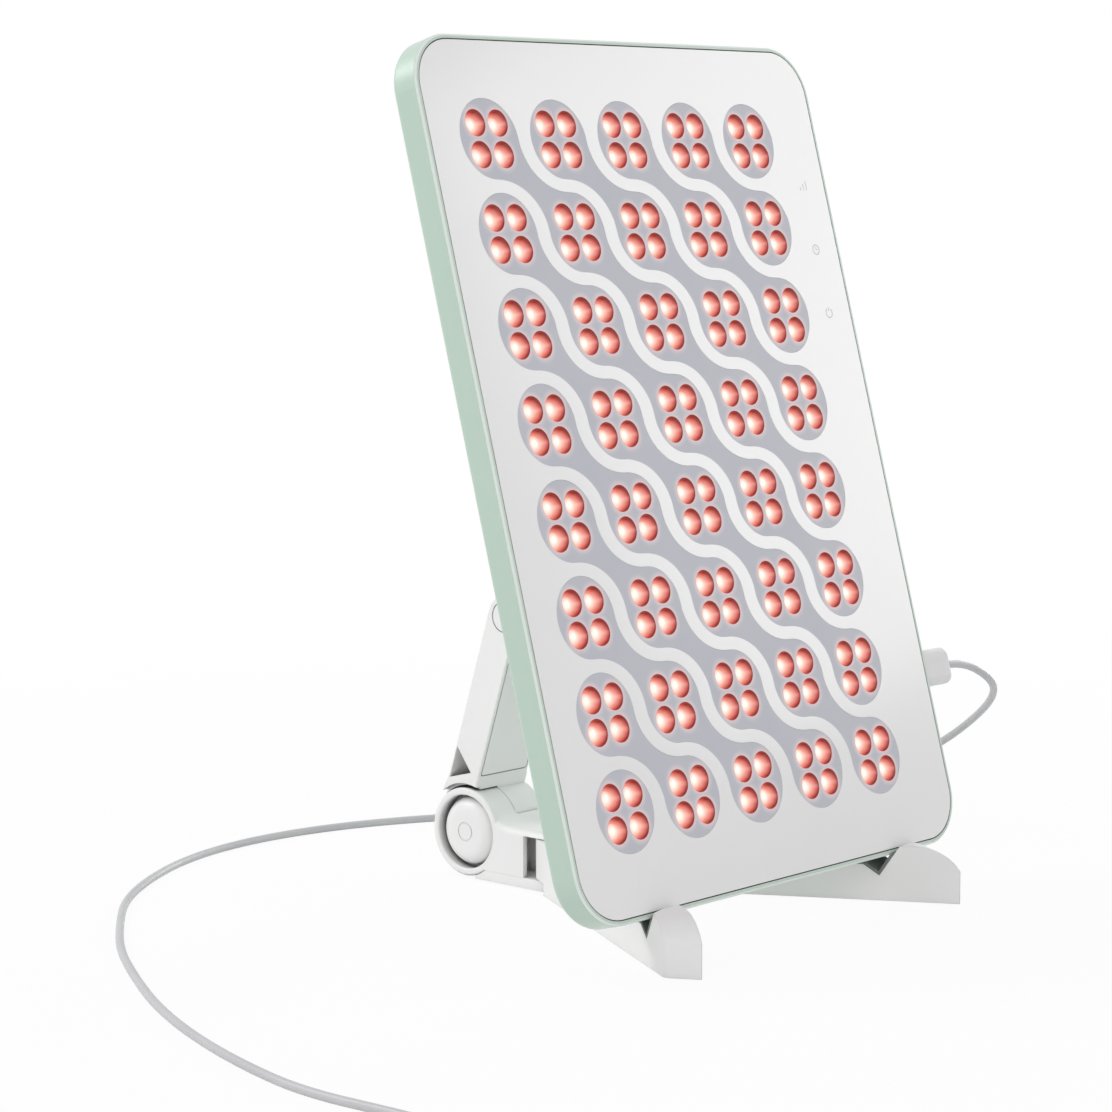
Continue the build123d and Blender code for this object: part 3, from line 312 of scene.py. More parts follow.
plastics = {
    # satin ABS for the stand: broad soft highlights over a chalky white, with near black painted
    # shade in its gaps
    "satinWhiteAbs": {
        "colour": "#F5F4F4", "colourDrift": "#F2F1F1", "driftSize": 60,
        "roughness": 0.42, "roughnessDrift": 0.04,
        "grainSize": 0.5, "grainDepth": 0.02, "grainStrength": 0.25,
        "paintedShadeReach": 9, "paintedShadeColour": "#0C0C0C", "edgeRound": 0.5},
    # smoother ABS of the end caps, with a lighter painted shade in its gaps
    "smoothWhiteAbs": {
        "colour": "#F5F4F4", "colourDrift": "#F2F1F1", "driftSize": 40,
        "roughness": 0.3, "roughnessDrift": 0.03,
        "grainSize": 0.5, "grainDepth": 0.01, "grainStrength": 0.15,
        "paintedShadeReach": 3, "paintedShadeColour": "#505050", "edgeRound": 0.4},
    # pale mint ABS under a satin lacquer, which gives the frame its silky sheen. The bevel round
    # the front gets a painted highlight, a pale line, with a thin line of painted shade in deeper
    # green beside it
    "lacqueredMintAbs": {
        "colour": "#BCD1C3", "colourDrift": "#B8CEC0", "driftSize": 90,
        "roughness": 0.34, "roughnessDrift": 0.03, "coat": 0.3, "coatRoughness": 0.28,
        "grainSize": 0.35, "grainDepth": 0.01, "grainStrength": 0.15, "edgeRound": 0.25,
        "rimPaintedShade": [(0.06, "#FFFFFF"), (0.2, "#A3BBAD"), (0.38, "#A3BBAD"), (0.6, "#FFFFFF")],
        "bevelHighlightShare": [(0.42, "#000000"), (0.56, "#FFFFFF"), (0.84, "#FFFFFF"), (0.94, "#8A8A8A")],
        "bevelHighlightColour": "#E9F3EC"},
    # soft extruded PVC sheath, a little waxy
    "extrudedWhitePvc": {
        "colour": "#C6C6C8", "colourDrift": "#C1C1C4", "driftSize": 25,
        "roughness": 0.4, "roughnessDrift": 0.04,
        "grainSize": 0.8, "grainDepth": 0.004, "grainStrength": 0.1},
    # the plug's overmould, softer to the light than the cord
    "overmouldedWhitePvc": {
        "colour": "#E9E9EA", "colourDrift": "#E5E5E7", "driftSize": 12,
        "roughness": 0.5, "roughnessDrift": 0.04,
        "grainSize": 0.35, "grainDepth": 0.02, "grainStrength": 0.3, "edgeRound": 0.5},
    # polished polycarbonate of the wall adaptor, with clear small highlights
    "polishedWhitePolycarbonate": {
        "colour": "#F0F0F0", "colourDrift": "#EDEDED", "driftSize": 30,
        "roughness": 0.22, "roughnessDrift": 0.03, "ior": 1.58,
        "grainSize": 0.5, "grainDepth": 0.005, "grainStrength": 0.1},
    # silicone strip in the notches, dull grey with a fine tooth
    "mouldedGreySilicone": {
        "colour": "#7E8080", "colourDrift": "#747676", "driftSize": 8,
        "roughness": 0.7, "roughnessDrift": 0.05, "ior": 1.41,
        "grainSize": 0.4, "grainDepth": 0.04, "grainStrength": 0.4},
    # rubber of the feet and of the seal round the front, dark and without a shine
    "mouldedDarkRubber": {
        "colour": "#343635", "colourDrift": "#3A3C3B", "driftSize": 6,
        "roughness": 0.75, "roughnessDrift": 0.05, "ior": 1.52,
        "grainSize": 0.4, "grainDepth": 0.05, "grainStrength": 0.4},
    # matt polycarbonate behind the front, lavender grey, given a painted glow round each cup below
    "glowPaintedGreyPolycarbonate": {
        "colour": "#CACBD3", "colourDrift": "#C6C8D1", "driftSize": 50,
        "roughness": 0.5, "roughnessDrift": 0.04, "ior": 1.58,
        "grainSize": 0.4, "grainDepth": 0.015, "grainStrength": 0.2},
    # screen ink of the touch keys, a thin satin film
    "greyScreenInk": {
        "colour": "#C2C2C4", "colourDrift": "#BDBDC0", "driftSize": 3,
        "roughness": 0.4, "roughnessDrift": 0.03,
        "grainSize": 0.2, "grainDepth": 0.002, "grainStrength": 0.1},
    # glass-fibre boards under solder mask, which dries to a slightly wavy gloss
    "whiteSolderMask": {
        "colour": "#E6E5E0", "colourDrift": "#DFDED8", "driftSize": 20,
        "roughness": 0.35, "roughnessDrift": 0.04,
        "grainSize": 0.8, "grainDepth": 0.02, "grainStrength": 0.3},
    "greenSolderMask": {
        "colour": "#1F5B3A", "colourDrift": "#1A4F32", "driftSize": 10,
        "roughness": 0.3, "roughnessDrift": 0.04,
        "grainSize": 0.8, "grainDepth": 0.02, "grainStrength": 0.3},
    # glass-filled nylon of the inlet, black with a dull bloom
    "mouldedBlackNylon": {
        "colour": "#161617", "colourDrift": "#1C1C1D", "driftSize": 5,
        "roughness": 0.5, "roughnessDrift": 0.05,
        "grainSize": 0.3, "grainDepth": 0.02, "grainStrength": 0.4},
    # clear polyester film with faint silver tracks
    "printedPolyesterFilm": {
        "colour": "#D5D6D8", "colourDrift": "#C6C8CB", "driftSize": 4,
        "roughness": 0.2, "roughnessDrift": 0.03, "ior": 1.57,
        "grainSize": 1.0, "grainDepth": 0.005, "grainStrength": 0.1},
}
finishes = {name: mouldedPlastic(name, s) for name, s in plastics.items()}


# Painted glow: the grey moulding is given a warm emission in a narrow ring round each cup, for the
# cups' light falling on it.
paintedHalo = {
    "inner": 5.5,    # millimetres from a cup's middle, full strength
    "outer": 8.0,    # and none
    "colour": "#765046",
}


def paintGlowRoundCups(material, s):
    tree = material.node_tree
    shader = next(node for node in tree.nodes if node.type == "BSDF_PRINCIPLED")
    place = addNode(tree, "ShaderNodeAttribute", {"attribute_name": "panelPlace"})
    parts = addNode(tree, "ShaderNodeSeparateXYZ", None, {0: place.outputs["Vector"]})
    middle = padCentre(field["columns"] // 2, field["rows"] // 2 - 1)
    squares = []
    for axis, pitch in enumerate((field["pitchX"], field["pitchY"])):
        # how far the point is from the nearest line of cup middles
        shifted = addNode(tree, "ShaderNodeMath", {"operation": "SUBTRACT", 1: middle[axis]},
                          {0: parts.outputs[axis]})
        folded = addNode(tree, "ShaderNodeMath", {"operation": "PINGPONG", 1: pitch / 2},
                         {0: shifted.outputs[0]})
        offset = addNode(tree, "ShaderNodeMath",
                         {"operation": "SUBTRACT", 1: field["cupPitch"] / 2},
                         {0: folded.outputs[0]})
        squares.append(addNode(tree, "ShaderNodeMath", {"operation": "POWER", 1: 2.0},
                               {0: offset.outputs[0]}))
    total = addNode(tree, "ShaderNodeMath", {"operation": "ADD"},
                    {0: squares[0].outputs[0], 1: squares[1].outputs[0]})
    away = addNode(tree, "ShaderNodeMath", {"operation": "SQRT"}, {0: total.outputs[0]})
    warmth = addNode(tree, "ShaderNodeMapRange",
                     {"interpolation_type": "SMOOTHSTEP", "From Min": s["inner"],
                      "From Max": s["outer"], "To Min": 1.0, "To Max": 0.0},
                     {"Value": away.outputs[0]})
    glow = addNode(tree, "ShaderNodeValToRGB", None, {"Fac": warmth.outputs[0]})
    setStops(glow, [(0.0, "#000000"), (1.0, s["colour"])])
    tree.links.new(glow.outputs[0], shader.inputs["Emission Color"])
    shader.inputs["Emission Strength"].default_value = 1.0


paintGlowRoundCups(finishes["glowPaintedGreyPolycarbonate"], paintedHalo)


# Turned steel and brass, plated. Fine turning marks round the bar pull the highlights out, and the
# plating is a little cloudy. The marks are drawn several times as far apart as turning leaves them,
# or they wouldn't show. Sizes in millimetres.
plating = {
    "zincPlatedSteel": {
        "colour": "#B9BBC0", "colourCloud": "#A9ACB3", "cloudSize": 3,
        "roughness": 0.32, "roughnessDrift": 0.06, "markPitch": 0.9425, "markDepth": 0.01},
    "nickelPlatedBrass": {
        "colour": "#C9C5BB", "colourCloud": "#BDB8AC", "cloudSize": 4,
        "roughness": 0.22, "roughnessDrift": 0.06, "markPitch": 1.885, "markDepth": 0.01},
}
bandPitch = 2 * pi / 20   # a wave texture's bands lie this far apart at scale 1


def platedMetal(name, s):
    material, tree, shader = newMaterial(name, {"Metallic": 1.0})
    place = addNode(tree, "ShaderNodeTexCoord")
    cloud = addNode(tree, "ShaderNodeTexNoise",
                    {"Scale": 1 / (s["cloudSize"] * mm), "Detail": 3.0},
                    {"Vector": place.outputs["Object"]})
    ramp = addNode(tree, "ShaderNodeValToRGB", None, {"Fac": cloud.outputs[0]})
    setStops(ramp, [(0.35, s["colour"]), (0.65, s["colourCloud"])])
    tree.links.new(ramp.outputs[0], shader.inputs["Base Color"])
    rough = addNode(tree, "ShaderNodeMapRange",
                    {"To Min": s["roughness"] - s["roughnessDrift"],
                     "To Max": s["roughness"] + s["roughnessDrift"]},
                    {"Value": cloud.outputs[0]})
    tree.links.new(rough.outputs[0], shader.inputs["Roughness"])
    marks = addNode(tree, "ShaderNodeTexWave",
                    {"bands_direction": "X", "Scale": bandPitch / (s["markPitch"] * mm),
                     "Distortion": 1.5, "Detail": 2.0},
                    {"Vector": place.outputs["Object"]})
    bump = addNode(tree, "ShaderNodeBump", {"Strength": 0.3, "Distance": s["markDepth"] * mm},
                   {"Height": marks.outputs[1]})
    tree.links.new(bump.outputs[0], shader.inputs["Normal"])
    return material


for name, s in plating.items():
    finishes[name] = platedMetal(name, s)


# Cast acrylic sheet, painted white on its back: a clear polished face over an even white.
acrylic = {
    "colour": "#F3F2F2",
    "colourDrift": "#F0EFEF",
    "driftSize": 120,    # millimetres
    "roughness": 0.35,   # of the paint
    "polish": 0.14,      # roughness of the clear face
    "ior": 1.49,
}


def paintedAcrylic(name, s):
    material, tree, shader = newMaterial(name, {
        "Roughness": s["roughness"], "IOR": s["ior"], "Coat Weight": 1.0,
        "Coat Roughness": s["polish"], "Coat IOR": s["ior"]})
    place = addNode(tree, "ShaderNodeTexCoord")
    drift = addNode(tree, "ShaderNodeTexNoise",
                    {"Scale": 1 / (s["driftSize"] * mm), "Detail": 1.0},
                    {"Vector": place.outputs["Object"]})
    ramp = addNode(tree, "ShaderNodeValToRGB", None, {"Fac": drift.outputs[0]})
    setStops(ramp, [(0.3, s["colour"]), (0.7, s["colourDrift"])])
    tree.links.new(ramp.outputs[0], shader.inputs["Base Color"])
    return material


finishes["backPaintedAcrylic"] = paintedAcrylic("backPaintedAcrylic", acrylic)


# Clear red-tinted polycarbonate, polished in the mould, and the clear epoxy lens at its foot, which
# glows with the LED's own light. On the cup's wall and lip the glow is painted light: near white at
# the source, falling through salmon to a dark red just under the pale lip. The mesh stores how near
# a point is to the source.
paintedGlowStops = [
    (0.0, "#5A3A38"), (0.10, "#6A4644"), (0.13, "#64140E"), (0.15, "#7A1C15"), (0.20, "#A43A31"),
    (0.26, "#BE584C"), (0.315, "#CB786E"), (0.37, "#DA887C"), (0.424, "#E69B8D"),
    (0.479, "#ECB0A2"), (0.54, "#EDC4B5"), (0.68, "#EED7CA"), (0.79, "#EFE7DB"),
    (0.894, "#F4F0E8"), (1.0, "#F8F6F0")]
# the red tint, painted lighter towards the source: tint and painted light in one ramp
redTintAndPaintedLightStops = [
    (0.0, "#C4BCC4"), (0.10, "#C9B4B6"), (0.13, "#6A2A24"), (0.4, "#6A2A24"), (0.6, "#8A5A4C"),
    (1.0, "#A08A7C")]


def litPlastic(name, roughness, ior):
    material, tree, shader = newMaterial(
        name, {"Roughness": roughness, "IOR": ior, "Emission Strength": 1.0})
    nearness = addNode(tree, "ShaderNodeAttribute", {"attribute_name": "nearLight"})
    for socket, stops in (("Base Color", redTintAndPaintedLightStops), ("Emission Color", paintedGlowStops)):
        ramp = addNode(tree, "ShaderNodeValToRGB", None, {"Fac": nearness.outputs["Fac"]})
        setStops(ramp, stops)
        tree.links.new(ramp.outputs[0], shader.inputs[socket])
    return material


finishes["glowPaintedRedPolycarbonate"] = litPlastic("glowPaintedRedPolycarbonate", roughness=0.22, ior=1.58)
finishes["litEpoxy"] = litPlastic("litEpoxy", roughness=0.15, ior=1.5)
print("finishes made:", len(finishes))

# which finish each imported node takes
nodeFinishes = {
    "lacqueredMintAbs": ["back_shell"],
    "satinWhiteAbs": ["hub_body", "hub_base_plate", "leg_left", "leg_right", "arm_frame",
                      "arm_front_cover", "upper_arm", "head_bracket"],
    "smoothWhiteAbs": ["hinge_cap_left", "hinge_cap_right", "elbow_cap_left", "elbow_cap_right"],
    "mouldedGreySilicone": ["notch_pad_left", "notch_pad_right"],
    "mouldedDarkRubber": ["hub_pad", "foot_pad_left", "foot_pad_right"],
    "zincPlatedSteel": ["hinge_shaft", "hinge_nut", "friction_washers", "leg_pin_left",
                        "leg_pin_right", "elbow_shaft", "head_pin", "hub_screws",
                        "bracket_screws"],
    "nickelPlatedBrass": ["adaptor_blades"],
    "overmouldedWhitePvc": ["power_plug", "adaptor_relief"],
    "polishedWhitePolycarbonate": ["adaptor_body"],
    "whiteSolderMask": ["led_board"],
    "greenSolderMask": ["driver_board"],
    "mouldedBlackNylon": ["dc_socket"],
    "printedPolyesterFilm": ["touch_sensor"],
    "litEpoxy": ["led_chips"],
}
for finish, names in nodeFinishes.items():
    dressNodes(finishes[finish], *names)
print("nodes dressed")

# power cord, millimetres: the free run and then the put-away coil
cord = {
    "radius": 1.7,
    # None takes the plug's own place
    "route": [
        (143.8, None, None), (157.5, None, None), (176, -57, 79.5), (189, -49, 69),
        (195.5, -32.5, 55.5), (197, -11, 40.5), (192, 15.5, 27), (181, 46.5, 16.5), (163, 80, 9.5),
        (139.5, 113.5, 4.7), (110.5, 146, 2.4), (77, 173.5, 1.7), (40, 194, 1.7), (1, 206, 1.7),
        (-39, 208, 1.7), (-77, 199.5, 1.7), (-114, 181, 1.7), (-147.5, 157, 1.7),
        (-176, 126, 1.7), (-204, 92.5, 1.7), (-228, 55, 1.7), (-250, 17, 1.7), (-268, -23.5, 1.7),
        (-281.5, -65, 1.7), (-290, -105, 1.7), (-286.1, -148, 1.7), (-286.1, -194, 1.7)],
    "coilCentre": (-308.0, -208.0),
    # each turn's ring, counted outward from the middle one and upward from the floor
    "turns": [(1, 0), (0, 0), (-1, 0), (-1, 1), (-1, 2), (0, 2), (0, 1)],
    "lastRing": (1, 1),
    "meanRadius": 18.5,
    "pointsPerTurn": 16,
    "stepFrom": 0.6,    # share of a turn after which the cord steps over to its next ring
    # along x from the coil's front, and height
    "tail": [(0, 5.1), (-6, 5.0), (-11, 4.3), (-16, 4.0)],
    "stepsAlong": 6,
    "stepsRound": 4,
    "restHeight": 12.0,
    "declared": 1.8,       # metres
}


def coilPoints(s):
    pitch = 2 * s["radius"]
    centreX, centreY = s["coilCentre"]
    count = s["pointsPerTurn"]
    rings = s["turns"] + [s["lastRing"]]
    steps = [(turn, step) for turn in range(len(s["turns"])) for step in range(count)]
    steps += [(len(s["turns"]), step) for step in range(count // 4)]
    points = []
    for turn, step in steps:
        share = step / count
        blend = max(0.0, (share - s["stepFrom"]) / (1 - s["stepFrom"]))
        here, after = rings[turn], rings[min(turn + 1, len(rings) - 1)]
        out, up = (here[k] + (after[k] - here[k]) * blend for k in (0, 1))
        radius = s["meanRadius"] + out * pitch
        angle = -2 * pi * share
        points.append((centreX + radius * cos(angle), centreY + radius * sin(angle),
                       s["radius"] + up * pitch))
    frontY = centreY - s["meanRadius"] - s["lastRing"][0] * pitch
    points += [(centreX + along, frontY, height) for along, height in s["tail"]]
    return points


def cordPoints(s):
    plugLow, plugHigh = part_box("power_plug")
    start = (plugLow + plugHigh) / 2 / mm
    points = [(x, start.y if y is None else y, start.z if z is None else z)
              for x, y, z in s["route"]]
    return [Vector(point) * mm for point in points + coilPoints(s)]


def makeCord(s, material):
    curve = bpy.data.curves.new("cordLine", "CURVE")
    curve.dimensions = "3D"
    spline = curve.splines.new("NURBS")
    points = cordPoints(s)
    spline.points.add(len(points) - 1)
    for point, place in zip(spline.points, points):
        point.co = (*place, 1)
    spline.order_u = 3
    spline.use_endpoint_u = True
    spline.resolution_u = s["stepsAlong"]
    line = bpy.data.objects.new("cordLine", curve)
    bare = bpy.data.meshes.new_from_object(line)
    path = [vertex.co.copy() for vertex in bare.vertices]
    curve.bevel_depth = s["radius"] * mm
    curve.bevel_resolution = s["stepsRound"]
    curve.use_fill_caps = True
    tube = bpy.data.meshes.new_from_object(line)
    for polygon in tube.polygons:
        polygon.use_smooth = True
    length = sum((b - a).length for a, b in zip(path, path[1:]))
    print("cord line", round(length, 4), "m")
    piece = bpy.data.objects.new("power_cord", tube)
    bpy.context.scene.collection.objects.link(piece)
    setMaterial(tube, material)
    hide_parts("cord_tube", "cord_coil")
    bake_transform(piece)
    bpy.data.objects.remove(line)


makeCord(cord, finishes["extrudedWhitePvc"])
print("cord laid")


# outlines in the panel's own frame
def arc(centre, radiusX, radiusY, fromDegrees, toDegrees):
    sweep = toDegrees - fromDegrees
    steps = max(2, round(field["arcSteps"] * abs(sweep) / 90))
    angles = [radians(fromDegrees + sweep * i / steps) for i in range(steps + 1)]
    return [Vector((centre.x + radiusX * cos(a), centre.y + radiusY * sin(a))) for a in angles]


def windowOutline(chain, r):
    # a slanting chain of pads, anticlockwise: down its lower left side, back up its upper right
    wide, tall = field["pitchX"] - r, field["pitchY"] - r
    points = arc(chain[0], r, r, 90, 270)
    for upper, lower in zip(chain, chain[1:]):
        points += arc(Vector((upper.x, lower.y)), wide, tall, 90, 0)
        points += arc(lower, r, r, 180, 270)
    points += arc(chain[-1], r, r, 270, 450)
    for lower, upper in zip(chain[::-1], chain[-2::-1]):
        points += arc(Vector((lower.x, upper.y)), wide, tall, 270, 180)
        points += arc(upper, r, r, 0, 90)
    return points


def windowOutlines(r):
    # a chain starts at each pad of the left column and of the top row
    starts = [(0, row) for row in range(field["rows"] - 1, 0, -1)]
    starts += [(column, 0) for column in range(field["columns"])]
    outlines = []
    for column, row in starts:
        length = min(field["columns"] - column, field["rows"] - row)
        chain = [padCentre(column + i, row + i) for i in range(length)]
        outlines.append(windowOutline(chain, r))
    return outlines


def panelOutline(inset):
    # the panel's outline, rounded at its corners and drawn in by an inset
    corner = panel["corner"] - inset
    steps = panel["cornerSteps"]
    points = []
    for sx, sy, start in ((1, 1, 0), (-1, 1, 90), (-1, -1, 180), (1, -1, 270)):
        for i in range(steps + 1):
            angle = radians(start + 90 * i / steps)
            points.append(Vector((sx * (panel["width"] / 2 - inset - corner) + corner * cos(angle),
                                  sy * (panel["height"] / 2 - inset - corner)
                                  + corner * sin(angle))))
    return points


def withoutRepeats(points, tolerance=1e-4):
    return [p for p, q in zip(points, points[-1:] + points[:-1]) if (p - q).length > tolerance]


def filledPlate(outlines, thickness, edgeRound, roundSteps):
    # sheet with holes and rounded edges, its middle plane at z = 0
    curve = bpy.data.curves.new("plate", "CURVE")
    curve.dimensions = "2D"
    curve.fill_mode = "BOTH"
    curve.extrude = thickness / 2 - edgeRound
    curve.bevel_depth = edgeRound
    curve.bevel_resolution = roundSteps
    curve.offset = -edgeRound
    for outline in outlines:
        outline = withoutRepeats(outline)
        spline = curve.splines.new("POLY")
        spline.points.add(len(outline) - 1)
        for point, place in zip(spline.points, outline):
            point.co = (place.x, place.y, 0, 1)
        spline.use_cyclic_u = True
    holder = bpy.data.objects.new("plate", curve)
    mesh = bpy.data.meshes.new_from_object(holder)
    bpy.data.objects.remove(holder)
    build = bmesh.new()
    build.from_mesh(mesh)
    bpy.data.meshes.remove(mesh)
    bmesh.ops.remove_doubles(build, verts=build.verts, dist=1e-5)
    return build


def weighNormals(piece):
    modifier = piece.modifiers.new("weighted", "WEIGHTED_NORMAL")
    modifier.keep_sharp = True


# white front, a loose fit in the shell's rim
front = {
    "seam": 0.45,
    "edgeRound": 0.12,
}
frontInset = panel["rim"] + front["seam"]


def makeFrontPlate(s):
    outlines = [panelOutline(frontInset)] + windowOutlines(field["padRadius"])
    build = filledPlate(outlines, panel["frontThickness"], s["edgeRound"], roundSteps=2)
    mesh = meshFrom(build, sunk(panel["frontThickness"] / 2), sharpDegrees=50)
    piece = makePiece("front_plate_glossy", mesh, finishes["backPaintedAcrylic"], "panel",
                      ["front_plate"])
    weighNormals(piece)


# dark rubber seal that fills the seam between the front and the shell; its dark colour also stands
# in for the shade in that gap, painted shade
seal = {
    "depth": 0.3,       # of its top below the front
    "lap": 0.1,         # how far it reaches under the front's rounded edge
    "edgeRound": 0.1,
}


def makeSealWithSeamShade(s):
    outlines = [panelOutline(panel["rim"]), panelOutline(frontInset + s["lap"])]
    thickness = panel["frontThickness"] - s["depth"]
    build = filledPlate(outlines, thickness, s["edgeRound"], roundSteps=2)
    mesh = meshFrom(build, sunk(s["depth"] + thickness / 2), sharpDegrees=50)
    makePiece("front_seal_seam_shade", mesh, finishes["mouldedDarkRubber"], "panel")


# light cups, from the lip down the wall to the lens
cup = {
    "holeRadius": 5.54,     # of the hole in the moulding, which the lip covers
    "outerRadius": 5.62,
    "lipRadius": 5.46,
    # the lip's section from outside in: radius past lipRadius, height over the pads, nearness
    "lip": [(0.16, -0.1, 0.0), (0.16, 0.01, 0.0), (0.12, 0.03, 0.05), (0.03, 0.03, 0.1),
            (0.0, -0.02, 0.13)],
    "wallFoot": 3.4,
    "wallCurve": 1.3,       # above 1, so the wall starts steep under its lip
    "footDepth": 3.2,       # the wall's foot below the grey pads
    "wallSkirt": 0.6,       # how far the wall goes on below its foot
    "lensSkirt": 0.3,       # and the lens below its edge
    "lensCrown": 0.5,
    "nearLip": 0.13,        # nearness to the light source at the wall's top, and at its foot
    "nearFoot": 0.55,
    "paintedShadeAbove": 0.18,      # painted shade: the wall above the source takes less glow, so a deeper red
    "paintedShadeBelow": 0.09,
    "paintedShadeRadius": 3.2,
    "wallSteps": 14,
    "lensSteps": 8,
}

# grey moulding: a plate behind the front, with pads that stand up in the windows
pads = {
    "depth": 0.12,          # of the pads below the front
    "gap": 0.04,
    "edgeRound": 0.05,
    "lap": 0.1,             # how far a pad reaches into the plate
    "plateEdgeRound": 0.02,
}


def makeCupMoulding(s):
    steps = field["cupSteps"]
    turn = [cup["holeRadius"] * Vector((cos(2 * pi * i / steps), sin(2 * pi * i / steps)))
            for i in range(steps)]
    holes = [[centre + step for step in turn] for centre in cupCentres()]
    plate = filledPlate([panelOutline(frontInset)] + holes, panel["reflectorThickness"],
                        s["plateEdgeRound"], roundSteps=0)
    plateMiddle = panel["frontThickness"] + panel["reflectorThickness"] / 2
    plate.transform(Matrix.Translation((0, 0, -plateMiddle)))
    padThickness = panel["frontThickness"] - s["depth"] + s["lap"]
    raised = filledPlate(windowOutlines(field["padRadius"] - s["gap"]) + holes, padThickness,
                         s["edgeRound"], roundSteps=1)
    raised.transform(Matrix.Translation((0, 0, -s["depth"] - padThickness / 2)))
    build = joinBuilds([plate, raised])
    layer = build.verts.layers.float_vector.new("panelPlace")
    for vertex in build.verts:
        vertex[layer] = vertex.co
    mesh = meshFrom(build, panelPlace, sharpDegrees=50)
    piece = makePiece("cup_moulding", mesh, finishes["glowPaintedGreyPolycarbonate"], "panel",
                      ["reflector_plate"])
    weighNormals(piece)


def cupProfile(s):
    # (radius, height over the pads, nearness): the lip, down the inner wall and back up behind it
    profile = [(s["lipRadius"] + out, height, share) for out, height, share in s["lip"]]
    for i in range(1, s["wallSteps"] + 1):
        share = i / s["wallSteps"]
        radius = s["lipRadius"] + (s["wallFoot"] - s["lipRadius"]) * share ** s["wallCurve"]
        profile.append((radius, -s["footDepth"] * share,
                        s["nearLip"] + (s["nearFoot"] - s["nearLip"]) * share))
    bottom = -s["footDepth"] - s["wallSkirt"]
    return profile + [(s["wallFoot"], bottom, s["nearFoot"]), (s["outerRadius"], bottom, 0.0)]


def lensProfile(s):
    # from the middle of the lens out to the wall's foot, then underneath
    profile = []
    for i in range(s["lensSteps"] + 1):
        share = i / s["lensSteps"]
        profile.append((s["wallFoot"] * share,
                        -s["footDepth"] + s["lensCrown"] * cos(share * pi / 2),
                        1.0 - (1.0 - s["nearFoot"]) * share))
    bottom = -s["footDepth"] - s["lensSkirt"]
    return profile + [(s["wallFoot"], bottom, s["nearFoot"]), (0.0, bottom, s["nearFoot"])]


def glowShareAt(s, share, radius, angle):
    # painted glow fades from the source, with more painted shade above it than below; the lip keeps
    # its own
    if share <= s["nearLip"]:
        return share
    fall = s["paintedShadeAbove"] * max(0.0, sin(angle)) + s["paintedShadeBelow"] * max(0.0, -sin(angle))
    return max(s["nearLip"], share - fall * min(1.0, radius / s["paintedShadeRadius"]) ** 2)


def revolveAtCups(s, profile, closed):
    # turn one profile about each cup's middle; each point keeps its nearness to the source, less
    # painted shade
    steps = field["cupSteps"]
    build = bmesh.new()
    layer = build.verts.layers.float.new("nearLight")
    for centre in cupCentres():
        rings = []
        for radius, height, share in profile:
            ring = []
            for i in range(steps if radius else 1):
                angle = 2 * pi * i / steps
                vertex = build.verts.new((centre.x + radius * cos(angle),
                                          centre.y + radius * sin(angle), height))
                vertex[layer] = glowShareAt(s, share, radius, angle)
                ring.append(vertex)
            rings.append(ring)
        pairs = list(zip(rings, rings[1:]))
        if closed:
            pairs.append((rings[-1], rings[0]))
        for upper, lower in pairs:
            for i in range(steps):
                j = (i + 1) % steps
                if len(upper) == 1:
                    build.faces.new((upper[0], lower[i], lower[j]))
                elif len(lower) == 1:
                    build.faces.new((upper[i], lower[0], upper[j]))
                else:
                    build.faces.new((upper[i], lower[i], lower[j], upper[j]))
    return meshFrom(build, sunk(pads["depth"]), sharpDegrees=60)


def makeCups(s):
    makePiece("light_cups", revolveAtCups(s, cupProfile(s), closed=True),
              finishes["glowPaintedRedPolycarbonate"], "panel")
    makePiece("light_lenses", revolveAtCups(s, lensProfile(s), closed=False),
              finishes["litEpoxy"], "panel")


# three touch keys, printed in pale grey: level, timer and on-off
keys = {
    "x": 104.4,
    "places": [113.5, 85.0, 57.0],
    "line": 0.45,
    "radius": 2.1,
    "bars": [1.4, 2.8, 4.2],        # heights of the level key's three bars
    "hands": (0.55, 0.45),          # lengths of the timer's hands, as shares of its radius
    "powerGap": 70,                 # degrees left open at the top of the on-off ring
    "powerBar": (0.3, 1.2),         # from and to, as shares of its radius
    "thickness": 0.04,
    "edgeRound": 0.005,
    "proud": 0.02,
}


def stroke(points, width):
    # a closed outline round an open line
    left, right = [], []
    for i, point in enumerate(points):
        before = points[max(i - 1, 0)]
        after = points[min(i + 1, len(points) - 1)]
        along = (after - before).normalized()
        side = Vector((-along.y, along.x)) * width / 2
        left.append(point + side)
        right.append(point - side)
    return left + right[::-1]


def keyLines(s):
    # open lines of each key's sign, round its own middle
    r = s["radius"]
    middle = Vector((0, 0))
    up, across = s["hands"]
    low, high = s["powerBar"]
    half = s["powerGap"] / 2
    level = [[Vector((x, -r)), Vector((x, -r + tall))] for x, tall in zip((-r, 0, r), s["bars"])]
    ring = arc(middle, r, r, 90, 449)   # its two ends all but meet
    timer = [ring, [Vector((0, r * up)), middle, Vector((r * across, 0))]]
    openRing = arc(middle, r, r, 90 + half, 450 - half)
    power = [openRing, [Vector((0, r * low)), Vector((0, r * high))]]
    return [level, timer, power]


def makeKeys(s):
    builds = []
    for place, lines in zip(s["places"], keyLines(s)):
        for line in lines:
            build = filledPlate([stroke(line, s["line"])], s["thickness"], s["edgeRound"],
                                roundSteps=0)
            build.transform(Matrix.Translation((s["x"], place, s["proud"] - s["thickness"] / 2)))
            builds.append(build)
    mesh = meshFrom(joinBuilds(builds), panelPlace)
    makePiece("touch_keys", mesh, finishes["greyScreenInk"], "panel")


makeFrontPlate(front)
makeSealWithSeamShade(seal)
makeCupMoulding(pads)
makeCups(cup)
makeKeys(keys)
print("light field made:", len(cupCentres()), "cups")

